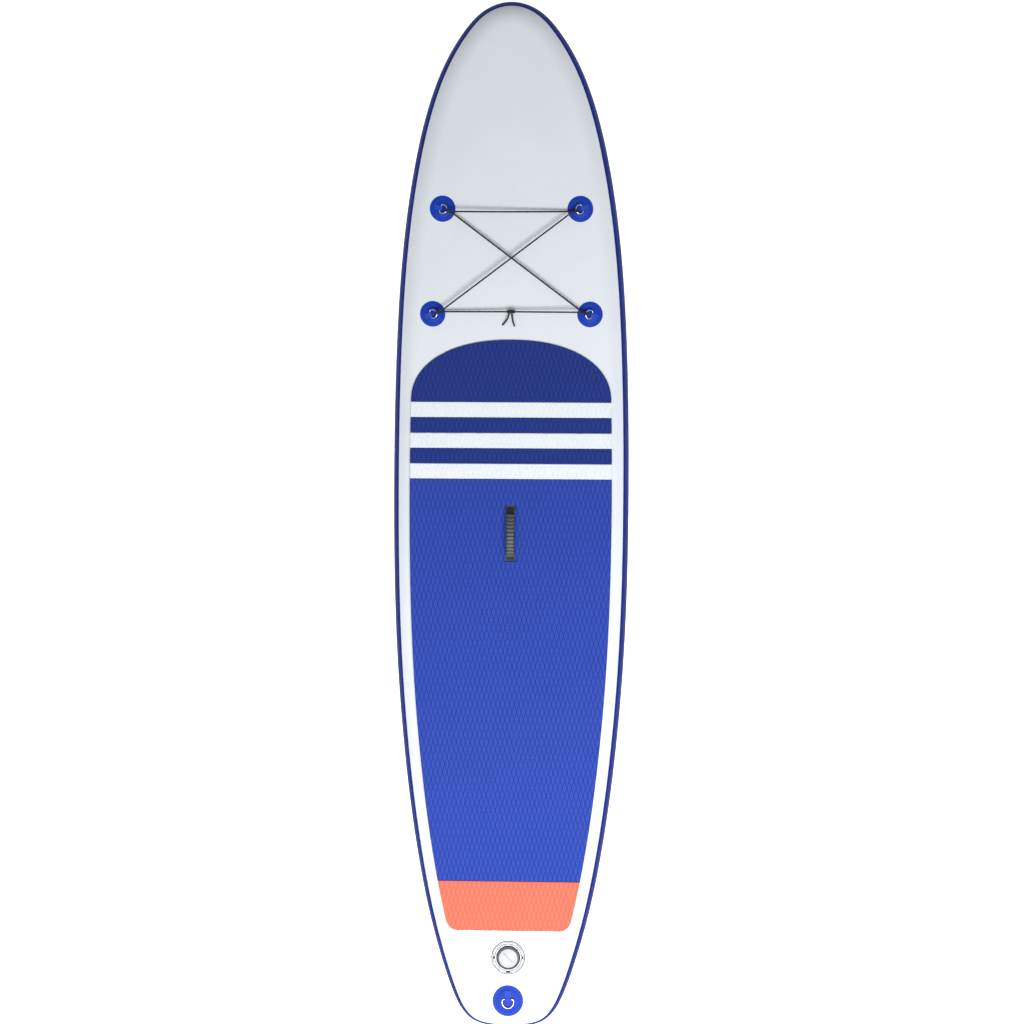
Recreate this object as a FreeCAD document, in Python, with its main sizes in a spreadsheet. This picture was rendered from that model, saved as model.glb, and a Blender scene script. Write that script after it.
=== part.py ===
"""Inflatable stand up paddleboard, as an assembly of separate pieces.

Frame: X across the board (+X is starboard), Y along it with the nose at +Y, Z up.
The origin is the centre of the flat hull bottom; the deck is one board thickness above it.
All sizes are in millimetres and live in the spreadsheet "sizes".
"""
import FreeCAD, Part
import math
import os
import Sketcher

from FreeCAD import Placement, Rotation, Vector

SIZES = {
    # board
    "board_length": 3270.0,
    "board_width": 760.0,
    "board_thick": 150.0,
    "nose_rocker_run": 1385.0,
    "nose_rocker_radius": 5200.0,
    "tail_rocker_run": 635.0,
    "tail_rocker_radius": 4500.0,
    "skin_thick": 1.2,
    "seam_tape_thick": 0.8,
    "seam_tape_wide": 50.0,
    "rail_band_thick": 1.0,
    "rail_band_wide": 100.0,
    "rail_flat": 0.6,
    "thread_diameter": 2.0,
    "thread_pitch": 130.0,
    # deck pads
    "pad_thick": 5.0,
    "pad_rail_inset": 57.0,
    "pad_gap": 1.2,
    "dome_long": 195.0,
    "dome_power": 2.2,
    "stripe_long": 49.0,
    "tail_pad_long": 164.0,
    "tail_pad_corner": 40.0,
    # rings and their patches
    "ring_patch_diameter": 80.0,
    "ring_patch_thick": 1.2,
    "ring_cover_diameter": 63.0,
    "ring_cover_thick": 0.8,
    "ring_patch_lift": 0.3,
    "ring_rail_inset": 115.0,
    "ring_wire": 4.0,
    "ring_wide": 31.0,
    "ring_long": 25.0,
    "ring_corner": 5.0,
    "ring_tilt": 22.0,
    "ring_setback": 6.0,
    "nose_to_front_rings": 611.0,
    "nose_to_rear_rings": 934.0,
    "rear_rings_to_pad": 81.0,
    "tab_wide": 15.0,
    "tab_thick": 1.2,
    "tab_long": 20.0,
    "bar_clearance": 0.35,
    # leash ring
    "leash_patch_diameter": 100.0,
    "leash_cover_diameter": 78.0,
    "leash_ring_wire": 5.0,
    "leash_ring_wide": 42.0,
    "leash_ring_long": 34.0,
    "leash_ring_corner": 6.5,
    "leash_tab_wide": 22.0,
    "leash_tab_long": 27.0,
    "tail_to_leash": 106.0,
    "tail_to_valve": 246.0,
    "tail_to_pad": 334.0,
    # cargo bungee
    "bungee_diameter": 5.0,
    "bungee_lead": 14.0,
    "bungee_lead_bend": 28.0,
    "knot_long": 32.0,
    "knot_wide": 14.0,
    "knot_tall": 12.0,
    "bungee_clearance": 0.5,
    # carry handle
    "handle_setback": 175.5,
    "handle_span": 165.0,
    "handle_rise": 34.0,
    "strap_wide": 25.0,
    "strap_thick": 2.4,
    "grip_long": 138.0,
    "grip_wide": 29.5,
    "grip_waist": 25.5,
    "grip_thick": 15.0,
    "grip_clearance": 0.3,
    "grip_setback": 5.0,
    "slot_long": 14.0,
    "slot_wide": 33.0,
    "handle_patch_long": 70.0,
    "handle_patch_wide": 60.0,
    "handle_patch_thick": 1.0,
    "groove_count": 11.0,
    "groove_wide": 2.6,
    "groove_deep": 1.4,
    "grip_round": 6.0,
    "patch_clearance": 0.3,
    # inflation valve
    "valve_hole_clearance": 0.5,
    "collar_diameter": 110.0,
    "collar_thick": 1.5,
    "valve_flange_diameter": 71.0,
    "valve_flange_thick": 3.0,
    "valve_body_diameter": 45.0,
    "valve_body_bore": 33.0,
    "valve_body_depth": 42.0,
    "valve_nut_diameter": 68.0,
    "valve_nut_thick": 8.0,
    "valve_fit": 0.3,
    "stem_diameter": 6.0,
    "stem_head": 15.0,
    "stem_disc": 28.0,
    "spring_wire": 1.2,
    "spring_turns": 3.0,
    "spring_diameter": 11.0,
    "cap_diameter": 62.5,
    "cap_thick": 9.0,
    "cap_wall": 2.5,
    "cap_grip_wide": 7.0,
    "cap_grip_tall": 2.2,
    "cap_grip_long": 46.0,
    "cap_skirt_deep": 6.0,
    "valve_seat_bore": 22.0,
    "valve_web_thick": 3.0,
    "valve_web_drop": 20.0,
    "air_hole": 8.0,
    "gasket_thick": 1.2,
    "gasket_diameter": 64.0,
    "valve_lift": 0.4,
    "stem_head_thick": 3.0,
    "stem_head_drop": 4.0,
    "stem_disc_thick": 3.0,
    # fins
    "tail_to_fin": 420.0,
    "fin_base_wide": 60.0,
    "fin_base_thick": 3.0,
    "fin_box_long": 252.0,
    "fin_box_wide": 26.0,
    "fin_box_tall": 27.0,
    "fin_slot_long": 228.0,
    "fin_slot_wide": 10.0,
    "fin_slot_deep": 24.0,
    "fin_chord": 152.0,
    "fin_height": 205.0,
    "fin_thick": 9.0,
    "fin_sweep": 105.0,
    "fin_tang_deep": 21.0,
    "fin_pin_diameter": 5.0,
    "fin_screw_diameter": 4.0,
    "fin_screw_long": 16.0,
    "fin_knob_diameter": 15.0,
    "fin_knob_thick": 5.0,
    "fin_tab_long": 16.0,
    "fin_tab_thick": 4.0,
    "fin_gap": 0.5,
    "channel_wide": 17.0,
    "channel_tall": 5.6,
    "fin_channel_top": -14.0,
    "thread_play": 0.05,
    "side_fin_chord": 112.0,
    "side_fin_height": 105.0,
    "side_fin_thick": 6.0,
    "side_fin_sweep": 62.0,
    "side_fin_inset": 95.0,
    "side_fin_ahead": 110.0,
    "side_base_long": 150.0,
    "side_base_wide": 34.0,
    "side_base_thick": 4.0,
}

# Plan outline from nose tip to tail: share of the half length, share of the half width.
OUTLINE = [
    (1.0, 0.0), (0.983, 0.234), (0.949, 0.384), (0.897, 0.532), (0.827, 0.664), (0.719, 0.792),
    (0.552, 0.908), (0.361, 0.971), (0.066, 1.0), (-0.235, 0.976), (-0.439, 0.913), (-0.646, 0.801),
    (-0.791, 0.676), (-0.872, 0.577), (-0.933, 0.483), (-0.966, 0.408), (-0.987, 0.313),
    (-0.997, 0.184), (-1.0, 0.0),
]

doc = FreeCAD.newDocument("paddleboard")
sheet = doc.addObject("Spreadsheet::Sheet", "sizes")
for row, (alias, value) in enumerate(SIZES.items(), start=1):
    sheet.set("A%d" % row, alias)
    sheet.set("B%d" % row, str(value))
    sheet.setAlias("B%d" % row, alias)
doc.recompute()


def size(alias):
    """Read one driving dimension from the sheet."""
    return float(sheet.get(alias))


def sized(expression):
    """Turn a formula of aliases into one that names the sheet."""
    words = []
    for word in expression.replace("(", "( ").replace(")", " )").split():
        words.append("sizes." + word if word in SIZES else word)
    return " ".join(words)


def bind(thing, **formulas):
    """Bind an object's sizes to the sheet."""
    for name, formula in formulas.items():
        thing.setExpression(name, sized(formula))


# ---------------------------------------------------------------- board surface

THICK = size("board_thick")
HALF_LENGTH = size("board_length") / 2
HALF_WIDTH = size("board_width") / 2
NOSE_START = HALF_LENGTH - size("nose_rocker_run")
TAIL_START = size("tail_rocker_run") - HALF_LENGTH
NOSE_RADIUS = size("nose_rocker_radius")
TAIL_RADIUS = size("tail_rocker_radius")


def rocker(y, height):
    """Slope angle and Z of the layer at a height above the hull bottom, at station Y."""
    if y > NOSE_START:
        angle = math.asin((y - NOSE_START) / (NOSE_RADIUS - height))
        return angle, NOSE_RADIUS - (NOSE_RADIUS - height) * math.cos(angle)
    if y < TAIL_START:
        angle = math.asin((y - TAIL_START) / (TAIL_RADIUS - height))
        return angle, TAIL_RADIUS - (TAIL_RADIUS - height) * math.cos(angle)
    return 0.0, height


def on_layer(x, y, height, lift=0.0, turn=0.0):
    """Placement on a layer of the board: local Z along its normal, local Y towards the nose."""
    angle, z = rocker(y, height)
    normal = Vector(0, -math.sin(angle), math.cos(angle))
    tilt = Rotation(Vector(1, 0, 0), math.degrees(angle))
    return Placement(Vector(x, y, z) + normal * lift, tilt * Rotation(Vector(0, 0, 1), turn))


def outline_curve():
    """Closed plan outline of the board at its widest layer."""
    right = [Vector(w * HALF_WIDTH, y * HALF_LENGTH, 0) for y, w in OUTLINE]
    left = [Vector(-p.x, p.y, 0) for p in reversed(right[1:-1])]
    curve = Part.BSplineCurve()
    curve.interpolate(Points=right + left, PeriodicFlag=True)
    return curve


OUTER = outline_curve()
SAMPLES_PER_SPAN = 3


def outline_wire(inset):
    """The plan outline moved inwards by an inset (outwards when negative)."""
    if inset == 0:
        return Part.Wire([OUTER.toShape()])
    points = []
    knots = OUTER.getKnots()
    for start, end in zip(knots[:-1], knots[1:]):
        for k in range(SAMPLES_PER_SPAN):
            at = start + (end - start) * k / SAMPLES_PER_SPAN
            tangent = OUTER.tangent(at)[0]
            points.append(OUTER.value(at) + Vector(tangent.y, -tangent.x, 0) * inset)
    curve = Part.BSplineCurve()
    curve.interpolate(Points=points, PeriodicFlag=True)
    return Part.Wire([curve.toShape()])


def half_width_at(y):
    """Half width of the plan outline at station Y."""
    line = Part.makeLine(Vector(0, y, 0), Vector(2 * HALF_WIDTH, y, 0))
    return OUTER.toShape().distToShape(line)[1][0][0].x


REACH = 300.0


def slab(low, high):
    """Everything between two heights of the bent board, wider and longer than the board."""
    side = -HALF_WIDTH - REACH
    tail_turn = math.asin((TAIL_START + HALF_LENGTH + REACH) / TAIL_RADIUS)
    nose_turn = math.asin((HALF_LENGTH + REACH - NOSE_START) / NOSE_RADIUS)

    def point(start, radius, turn, height):
        return Vector(side, start + (radius - height) * math.sin(turn),
                      radius - (radius - height) * math.cos(turn))

    def profile(height):
        tail = [point(TAIL_START, TAIL_RADIUS, -tail_turn * k, height) for k in (1, 0.5, 0)]
        nose = [point(NOSE_START, NOSE_RADIUS, nose_turn * k, height) for k in (0, 0.5, 1)]
        return [Part.Arc(*tail).toShape(), Part.makeLine(tail[2], nose[0]), Part.Arc(*nose).toShape()]

    bottom = profile(low)
    top = profile(high)
    tail_end = Part.makeLine(top[0].Vertexes[0].Point, bottom[0].Vertexes[0].Point)
    nose_end = Part.makeLine(bottom[2].Vertexes[1].Point, top[2].Vertexes[1].Point)
    face = Part.Face(Part.Wire(bottom + [nose_end] + top[::-1] + [tail_end]))
    return face.extrude(Vector(-2 * side, 0, 0))


def prism(wire):
    """A tall upright prism over a plan wire."""
    face = Part.Face(wire)
    face.translate(Vector(0, 0, -2 * THICK))
    return face.extrude(Vector(0, 0, 8 * THICK))


def board_solid(inset):
    """The rounded board, with every surface moved inwards by an inset."""
    block = slab(inset, THICK - inset).common(prism(outline_wire(inset))).Solids[0]
    rims = [edge for edge in block.Edges if edge.BoundBox.XLength > 1 and edge.BoundBox.YLength > 1]
    return block.makeFillet(THICK / 2 - inset - size("rail_flat"), rims)


def layer_height(point):
    """Height of a point above the hull bottom, measured square to the bent board."""
    if point.y > NOSE_START:
        return NOSE_RADIUS - math.hypot(point.y - NOSE_START, NOSE_RADIUS - point.z)
    if point.y < TAIL_START:
        return TAIL_RADIUS - math.hypot(point.y - TAIL_START, TAIL_RADIUS - point.z)
    return point.z


def is_cap(face, heights):
    """True for a face that lies on one of the given layers of the board."""
    u0, u1, v0, v1 = face.ParameterRange
    middle = face.valueAt((u0 + u1) / 2, (v0 + v1) / 2)
    flat = abs(face.normalAt((u0 + u1) / 2, (v0 + v1) / 2).z) > 0.7
    return flat and any(abs(layer_height(middle) - height) < 0.01 for height in heights)


def board_layer(outer, inner, low, high):
    """The wall between two nested board solids, from one height to another."""
    belt = slab(low, high)
    outside = outer.common(belt)
    inside = inner.common(belt)
    cuts = [height for height in (low, high) if 0 < height < THICK]
    rims = Part.makeCompound([f for f in outside.Faces if is_cap(f, cuts)])
    holes = Part.makeCompound([f for f in inside.Faces if is_cap(f, cuts)])
    faces = [f for f in outside.Faces if not is_cap(f, cuts)]
    faces += [f.reversed() for f in inside.Faces if not is_cap(f, cuts)]
    faces += rims.cut(holes).Faces
    sewn = Part.makeCompound(faces)
    sewn.sewShape(0.001)
    wall = Part.Solid(sewn.Shells[0])
    return wall if wall.Volume > 0 else Part.Solid(sewn.Shells[0].reversed())

pieces = []


def keep(piece):
    """Count an object among the pieces that are written out."""
    pieces.append(piece)
    return piece


def feature(label, shape):
    """A piece whose shape comes straight from Part functions."""
    piece = doc.addObject("Part::Feature", label)
    piece.Label = label
    piece.Shape = shape
    return keep(piece)


def primitive(kind, name, place=None, **formulas):
    """A Part primitive whose sizes are bound to the sheet."""
    shape = doc.addObject("Part::" + kind, name)
    bind(shape, **formulas)
    if place is not None:
        shape.Placement = place
    return shape


def fuse(label, members):
    """A Part fusion of several primitives."""
    union = doc.addObject("Part::MultiFuse", label)
    union.Label = label
    union.Shapes = members
    return union


def cut(label, base, tools):
    """A Part cut of one or more tools from a base."""
    tool = tools[0] if len(tools) == 1 else fuse(label + "_tools", tools)
    result = doc.addObject("Part::Cut", label)
    result.Label = label
    result.Base = base
    result.Tool = tool
    return result


def moved(x=0.0, y=0.0, z=0.0, axis=(0, 0, 1), angle=0.0):
    """A placement from an offset and one turn."""
    return Placement(Vector(x, y, z), Rotation(Vector(*axis), angle))


def body(label):
    """An empty PartDesign body."""
    new = doc.addObject("PartDesign::Body", label)
    new.Label = label
    return new


def sketch_in(owner, name, height=None):
    """A sketch on the body's own XY plane, raised by a formula of the sheet."""
    sketch = owner.newObject("Sketcher::SketchObject", name)
    plane = next(f for f in owner.Origin.OriginFeatures if f.Role == "XY_Plane")
    sketch.AttachmentSupport = (plane, [""])
    sketch.MapMode = "FlatFace"
    if height is not None:
        sketch.setExpression(".AttachmentOffset.Base.z", sized(height))
    return sketch


def draw_circle(sketch, diameter):
    """A circle about the sketch's origin."""
    ring = sketch.addGeometry(Part.Circle(Vector(), Vector(0, 0, 1), size(diameter) / 2))
    sketch.addConstraint(Sketcher.Constraint("Coincident", ring, 3, -1, 1))
    row = sketch.addConstraint(Sketcher.Constraint("Diameter", ring, size(diameter)))
    sketch.setExpression("Constraints[%d]" % row, sized(diameter))


def draw_rectangle(sketch, wide, long):
    """A rectangle centred on the sketch's origin."""
    x, y = size(wide) / 2, size(long) / 2
    corners = [Vector(-x, -y, 0), Vector(x, -y, 0), Vector(x, y, 0), Vector(-x, y, 0)]
    lines = [sketch.addGeometry(Part.LineSegment(corners[i], corners[(i + 1) % 4])) for i in range(4)]
    for i in range(4):
        sketch.addConstraint(Sketcher.Constraint("Coincident", lines[i], 2, lines[(i + 1) % 4], 1))
        sketch.addConstraint(Sketcher.Constraint("Vertical" if i % 2 else "Horizontal", lines[i]))
    sketch.addConstraint(Sketcher.Constraint("Symmetric", lines[0], 1, lines[2], 1, -1, 1))
    across = sketch.addConstraint(Sketcher.Constraint("DistanceX", lines[0], 1, lines[0], 2, 2 * x))
    along = sketch.addConstraint(Sketcher.Constraint("DistanceY", lines[1], 1, lines[1], 2, 2 * y))
    sketch.setExpression("Constraints[%d]" % across, sized(wide))
    sketch.setExpression("Constraints[%d]" % along, sized(long))


def pad(owner, sketch, name, length, down=False):
    """A pad of a sketch by a formula of the sheet."""
    block = owner.newObject("PartDesign::Pad", name)
    block.Profile = sketch
    block.Reversed = down
    bind(block, Length=length)
    return block


# ---------------------------------------------------------------- stations along the board

FRONT_RINGS = HALF_LENGTH - size("nose_to_front_rings")
REAR_RINGS = HALF_LENGTH - size("nose_to_rear_rings")
LEASH = size("tail_to_leash") - HALF_LENGTH
VALVE = size("tail_to_valve") - HALF_LENGTH
FIN = size("tail_to_fin") - HALF_LENGTH
PAD_TAIL = size("tail_to_pad") - HALF_LENGTH
DOME_TIP = REAR_RINGS - size("rear_rings_to_pad")
DOME_BASE = DOME_TIP - size("dome_long")
STRIPES = ["white_stripe_front", "blue_stripe_front", "white_stripe_middle", "blue_stripe_rear",
           "white_stripe_rear"]
MAIN_FRONT = DOME_BASE - len(STRIPES) * size("stripe_long")
MAIN_REAR = PAD_TAIL + size("tail_pad_long")
HANDLE = MAIN_FRONT - size("handle_setback")


# ---------------------------------------------------------------- inflated hull

def make_hull():
    """Deck and bottom skins, the seam tape inside the rail, the rail band outside, the threads."""
    skin = size("skin_thick")
    tape = size("seam_tape_wide") / 2
    band = size("rail_band_wide") / 2
    middle = THICK / 2
    outer = board_solid(0)
    inner = board_solid(skin)
    deck = board_layer(outer, inner, middle, THICK + REACH)
    hole_radius = size("valve_body_diameter") / 2 + size("valve_hole_clearance")
    hole = Part.makeCylinder(hole_radius, 4 * skin, Vector(0, 0, -2 * skin))
    hole.Placement = on_layer(0, VALVE, THICK)
    feature("deck_skin", deck.cut(hole))
    feature("hull_skin", board_layer(outer, inner, -REACH, middle))
    wrapped = board_solid(-size("rail_band_thick"))
    feature("rail_band", board_layer(wrapped, outer, middle - band, middle + band))
    taped = board_solid(skin + size("seam_tape_thick"))
    feature("seam_tape", board_layer(inner, taped, middle - tape, middle + tape))


def make_threads():
    """The drop stitch threads that hold the two skins parallel, thinned out to a wide pitch."""
    pitch = size("thread_pitch")
    skin = size("skin_thick")
    rows = int(HALF_LENGTH / pitch)
    threads = []
    for row in range(-rows, rows + 1):
        y = row * pitch
        room = half_width_at(y) - THICK / 2 - size("thread_diameter")
        columns = int(max(room, 0) / pitch)
        for column in range(-columns, columns + 1):
            x = column * pitch
            near_valve = math.hypot(x, y - VALVE) < size("valve_nut_diameter")
            near_tip = abs(y) > HALF_LENGTH - THICK
            if near_valve or near_tip:
                continue
            thread = Part.makeCylinder(size("thread_diameter") / 2, THICK - 2 * skin)
            thread.Placement = on_layer(x, y, skin)
            threads.append(thread)
    feature("drop_stitch_threads", Part.makeCompound(threads))


# ---------------------------------------------------------------- deck pads

def pad_sheet(front, rear):
    """A sheet of deck foam between two stations, cut to the rail inset."""
    length = front - rear
    block = Part.makeBox(4 * HALF_WIDTH, length, 8 * THICK, Vector(-2 * HALF_WIDTH, rear, -THICK))
    plan = prism(outline_wire(size("pad_rail_inset"))).common(block)
    return plan


def laid(plan):
    """The part of a plan prism that lies on the deck, one pad thick."""
    sheet_shape = slab(THICK, THICK + size("pad_thick")).common(plan)
    return sheet_shape.Solids[0]


def make_pads():
    """Domed front pad, five stripes, the main pad and the tail pad."""
    gap = size("pad_gap")
    reach = half_width_at(DOME_BASE) - size("pad_rail_inset")
    power = 2 / size("dome_power")
    points = []
    for step in range(17):
        turn = math.pi * step / 16
        x = math.copysign(abs(math.cos(turn)) ** power, math.cos(turn)) * reach
        points.append(Vector(x, DOME_BASE + math.sin(turn) ** power * size("dome_long"), 0))
    crown = Part.BSplineCurve()
    crown.interpolate(points)
    base = Part.makeLine(points[-1], points[0])
    feature("dome_pad", laid(prism(Part.Wire([crown.toShape(), base]))))
    for index, label in enumerate(STRIPES):
        front = DOME_BASE - index * size("stripe_long")
        feature(label, laid(pad_sheet(front - gap, front - size("stripe_long"))))
    main = laid(pad_sheet(MAIN_FRONT - gap, MAIN_REAR))
    feature("main_pad", main.cut(Part.makeCompound(handle_pockets())))
    tail = pad_sheet(MAIN_REAR - gap, PAD_TAIL)
    corners = [e for e in tail.Edges
               if e.BoundBox.ZLength > THICK and e.BoundBox.YMax < PAD_TAIL + 1]
    feature("tail_pad", laid(tail.makeFillet(size("tail_pad_corner"), corners)))


def handle_pockets():
    """Slots for the strap and recesses for its anchor patches, cut out of the main pad."""
    play = 2 * size("patch_clearance")
    blocks = []
    for side in (1, -1):
        y = HANDLE + side * size("handle_span") / 2
        wide, long = size("slot_wide"), size("slot_long")
        blocks.append(Part.makeBox(wide, long, 3 * size("pad_thick"),
                                   Vector(-wide / 2, y - long / 2, THICK - size("pad_thick"))))
        wide, long = size("handle_patch_wide") + play, size("handle_patch_long") + play
        deep = size("handle_patch_thick") + size("patch_clearance")
        blocks.append(Part.makeBox(wide, long, deep, Vector(-wide / 2, y - long / 2, THICK)))
    return blocks


# ---------------------------------------------------------------- rings on their patches

def make_patch(label, spot, diameter, cover):
    """A round patch with a thicker cover disc in its middle."""
    disc = body(label)
    rim = sketch_in(disc, label + "_rim")
    draw_circle(rim, diameter)
    pad(disc, rim, label + "_base", "ring_patch_thick")
    top = sketch_in(disc, label + "_top", "ring_patch_thick")
    draw_circle(top, cover)
    pad(disc, top, label + "_cover", "ring_cover_thick")
    disc.Placement = spot
    keep(disc)


def bar_height(wire):
    """Height of a ring's bar above the foot of its patch."""
    stack = size("ring_patch_thick") + size("ring_cover_thick") + size("tab_thick")
    return stack + size("bar_clearance") + size(wire) / 2


def make_tab(label, spot, wide, long, wire):
    """A strap sewn to the patch and folded round the ring's straight bar."""
    back = size("ring_setback")
    floor = size("ring_patch_thick") + size("ring_cover_thick")
    strap = primitive("Box", label + "_strap", moved(-size(wide) / 2, -back - size(long), floor),
                      Length=wide, Width=long, Height="2 * tab_thick")
    along_x = moved(-size(wide) / 2, -back, bar_height(wire), (0, 1, 0), 90)
    fold = primitive("Cylinder", label + "_fold", along_x,
                     Radius=wire + " / 2 + bar_clearance + tab_thick", Height=wide)
    bore = primitive("Cylinder", label + "_bore", along_x,
                     Radius=wire + " / 2 + bar_clearance", Height=wide)
    tab = cut(label, fuse(label + "_body", [strap, fold]), [bore])
    tab.Placement = spot
    keep(tab)


def make_ring(label, spot, wide, long, wire, corner, tilt):
    """A D shaped wire ring: straight bar, rounded corners, straight sides and a round bow."""
    half = (size(wide) - size(wire)) / 2
    reach = size(long) - size(wire)
    bend = size(corner)
    thin = wire + " / 2"
    bar = "%s - %s - 2 * %s" % (wide, wire, corner)
    side = "%s - %s - ( %s - %s ) / 2 - %s" % (long, wire, wide, wire, corner)
    members = [
        primitive("Cylinder", label + "_bar", moved(bend - half, 0, 0, (0, 1, 0), 90),
                  Radius=thin, Height=bar),
        primitive("Torus", label + "_bow", moved(0, reach - half),
                  Radius1="( %s - %s ) / 2" % (wide, wire), Radius2=thin),
    ]
    members[1].Angle3 = 180
    for name, sign in (("right", 1), ("left", -1)):
        members.append(primitive("Cylinder", "%s_side_%s" % (label, name),
                                 moved(sign * half, bend, 0, (1, 0, 0), -90),
                                 Radius=thin, Height=side))
        elbow = primitive("Torus", "%s_elbow_%s" % (label, name),
                          moved(sign * (half - bend), bend, 0, (0, 0, 1), -90 if sign > 0 else 180),
                          Radius1=corner, Radius2=thin)
        elbow.Angle3 = 90
        members.append(elbow)
    ring = fuse(label, members)
    ring.Placement = spot * moved(0, -size("ring_setback"), bar_height(wire), (1, 0, 0), tilt)
    keep(ring)


def ring_spots():
    """Name, spot and aim of the four cargo rings, each aimed between its two bungee runs."""
    front = half_width_at(FRONT_RINGS) - size("ring_rail_inset")
    rear = half_width_at(REAR_RINGS) - size("ring_rail_inset")
    aim = math.degrees(math.atan2(FRONT_RINGS - REAR_RINGS, front + rear)) / 2
    lift = size("ring_patch_lift")
    return {
        "front_left": on_layer(-front, FRONT_RINGS, THICK, lift, -90 - aim),
        "front_right": on_layer(front, FRONT_RINGS, THICK, lift, 90 + aim),
        "rear_left": on_layer(-rear, REAR_RINGS, THICK, lift, -90 + aim),
        "rear_right": on_layer(rear, REAR_RINGS, THICK, lift, 90 - aim),
    }


def make_rings():
    """Four cargo rings near the nose and the leash ring at the tail."""
    for name, spot in ring_spots().items():
        make_patch("ring_patch_" + name, spot, "ring_patch_diameter", "ring_cover_diameter")
        make_tab("ring_tab_" + name, spot, "tab_wide", "tab_long", "ring_wire")
        make_ring("d_ring_" + name, spot, "ring_wide", "ring_long", "ring_wire", "ring_corner",
                  size("ring_tilt"))
    spot = on_layer(0, LEASH, THICK, size("ring_patch_lift"), 180)
    make_patch("leash_patch", spot, "leash_patch_diameter", "leash_cover_diameter")
    make_tab("leash_tab", spot, "leash_tab_wide", "leash_tab_long", "leash_ring_wire")
    make_ring("leash_ring", spot, "leash_ring_wide", "leash_ring_long", "leash_ring_wire",
              "leash_ring_corner", 0.0)


# ---------------------------------------------------------------- cargo bungee

def rounded_path(points, radii, label):
    """Straight runs joined by tangent arcs; a radius of None is worked out from the runs."""
    edges = []
    start = points[0]
    used = []
    for i in range(1, len(points) - 1):
        before = points[i - 1] - points[i]
        after = points[i + 1] - points[i]
        half_turn = (math.pi - before.getAngle(after)) / 2
        radius = radii[i - 1]
        if radius is None:
            radius = 0.45 * min(before.Length, after.Length) / math.tan(half_turn)
        back = radius * math.tan(half_turn)
        first = points[i] + before.normalize() * back
        last = points[i] + after.normalize() * back
        bisector = (before + after).normalize()
        crown = points[i] + bisector * (radius / math.cos(half_turn) - radius)
        if start.distanceToPoint(first) > 0.001:
            edges.append(Part.LineSegment(start, first).toShape())
        edges.append(Part.Arc(first, crown, last).toShape())
        start = last
        used.append(radius)
    edges.append(Part.LineSegment(start, points[-1]).toShape())
    print(label, "radii", [round(r, 1) for r in used])
    return Part.Wire(edges)


def tube(path, diameter, label):
    """A round cord along a path, with its volume held against section times length."""
    start = path.Edges[0].Vertexes[0].Point
    direction = path.Edges[0].tangentAt(path.Edges[0].FirstParameter)
    ring = Part.Wire([Part.makeCircle(diameter / 2, start, direction)])
    cord = path.makePipeShell([ring], True, True)
    expected = math.pi * diameter ** 2 / 4 * path.Length
    print(label, "length", round(path.Length, 1), "volume ratio", round(cord.Volume / expected, 4))
    return cord


def make_bungee():
    """One elastic cord: across the front rings, crossed over, across the rear rings, knotted."""
    spots = ring_spots()
    tilt = math.radians(size("ring_tilt"))
    reach = size("ring_long") - size("ring_wire")
    wrap = (size("ring_wire") + size("bungee_diameter")) / 2 + size("bungee_clearance")
    lead = size("bungee_lead")

    def stop(name, side):
        """A point of the turn round a ring's bow: in on one side of the wire, out on the other."""
        place = spots[name]
        bow = Vector(0, -size("ring_setback") + reach * math.cos(tilt),
                     bar_height("ring_wire") + reach * math.sin(tilt))
        return [place.multVec(bow + Vector(0, lead, side * wrap)),
                place.multVec(bow + Vector(0, -wrap, side * wrap))]

    def turn(name, side):
        """Four points of a turn that comes in on one side and leaves on the other."""
        inward = stop(name, side)
        outward = stop(name, -side)
        return inward + outward[::-1]

    knot = (stop("rear_left", -1)[0] + stop("rear_right", 1)[0]) * 0.5
    points = [knot] + turn("rear_right", 1) + turn("front_left", -1) + turn("front_right", -1)
    points += turn("rear_left", 1) + [knot]
    bend = size("bungee_lead_bend")
    path = rounded_path(points, 4 * [bend, wrap, wrap, bend], "bungee_cord")
    lump = primitive("Ellipsoid", "bungee_knot", moved(knot.x, knot.y, knot.z),
                     Radius1="knot_tall / 2", Radius2="knot_long / 2", Radius3="knot_wide / 2")
    lump.Angle1, lump.Angle2 = -90, 90
    lump.Label = "bungee_knot"
    keep(lump)
    doc.recompute()
    cord = tube(path, size("bungee_diameter"), "bungee_cord").cut(lump.Shape)
    feature("bungee_cord", max(cord.Solids, key=lambda part: part.Volume))
    make_bungee_tails(knot, lump.Shape)


# Offsets from the knot across and along the board, and height above the deck.
TAILS = {
    "bungee_tail_left": [(-6.0, -3.0, 14.5), (-8.5, -17.0, 11.0), (-17.0, -31.0, 6.0), (-28.0, -42.0, 3.2)],
    "bungee_tail_right": [(2.0, -3.0, 14.5), (3.5, -17.0, 11.0), (5.0, -31.0, 6.0), (10.5, -45.0, 3.2)],
}


def make_bungee_tails(knot, lump):
    """Two short cord ends that leave the knot and come down to the deck."""
    for label, route in TAILS.items():
        points = [on_layer(knot.x + x, knot.y + y, THICK, height).Base for x, y, height in route]
        path = rounded_path(points, [None] * (len(points) - 2), label)
        tail = tube(path, size("bungee_diameter"), label).cut(lump)
        feature(label, max(tail.Solids, key=lambda part: part.Volume))


# ---------------------------------------------------------------- carry handle

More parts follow.
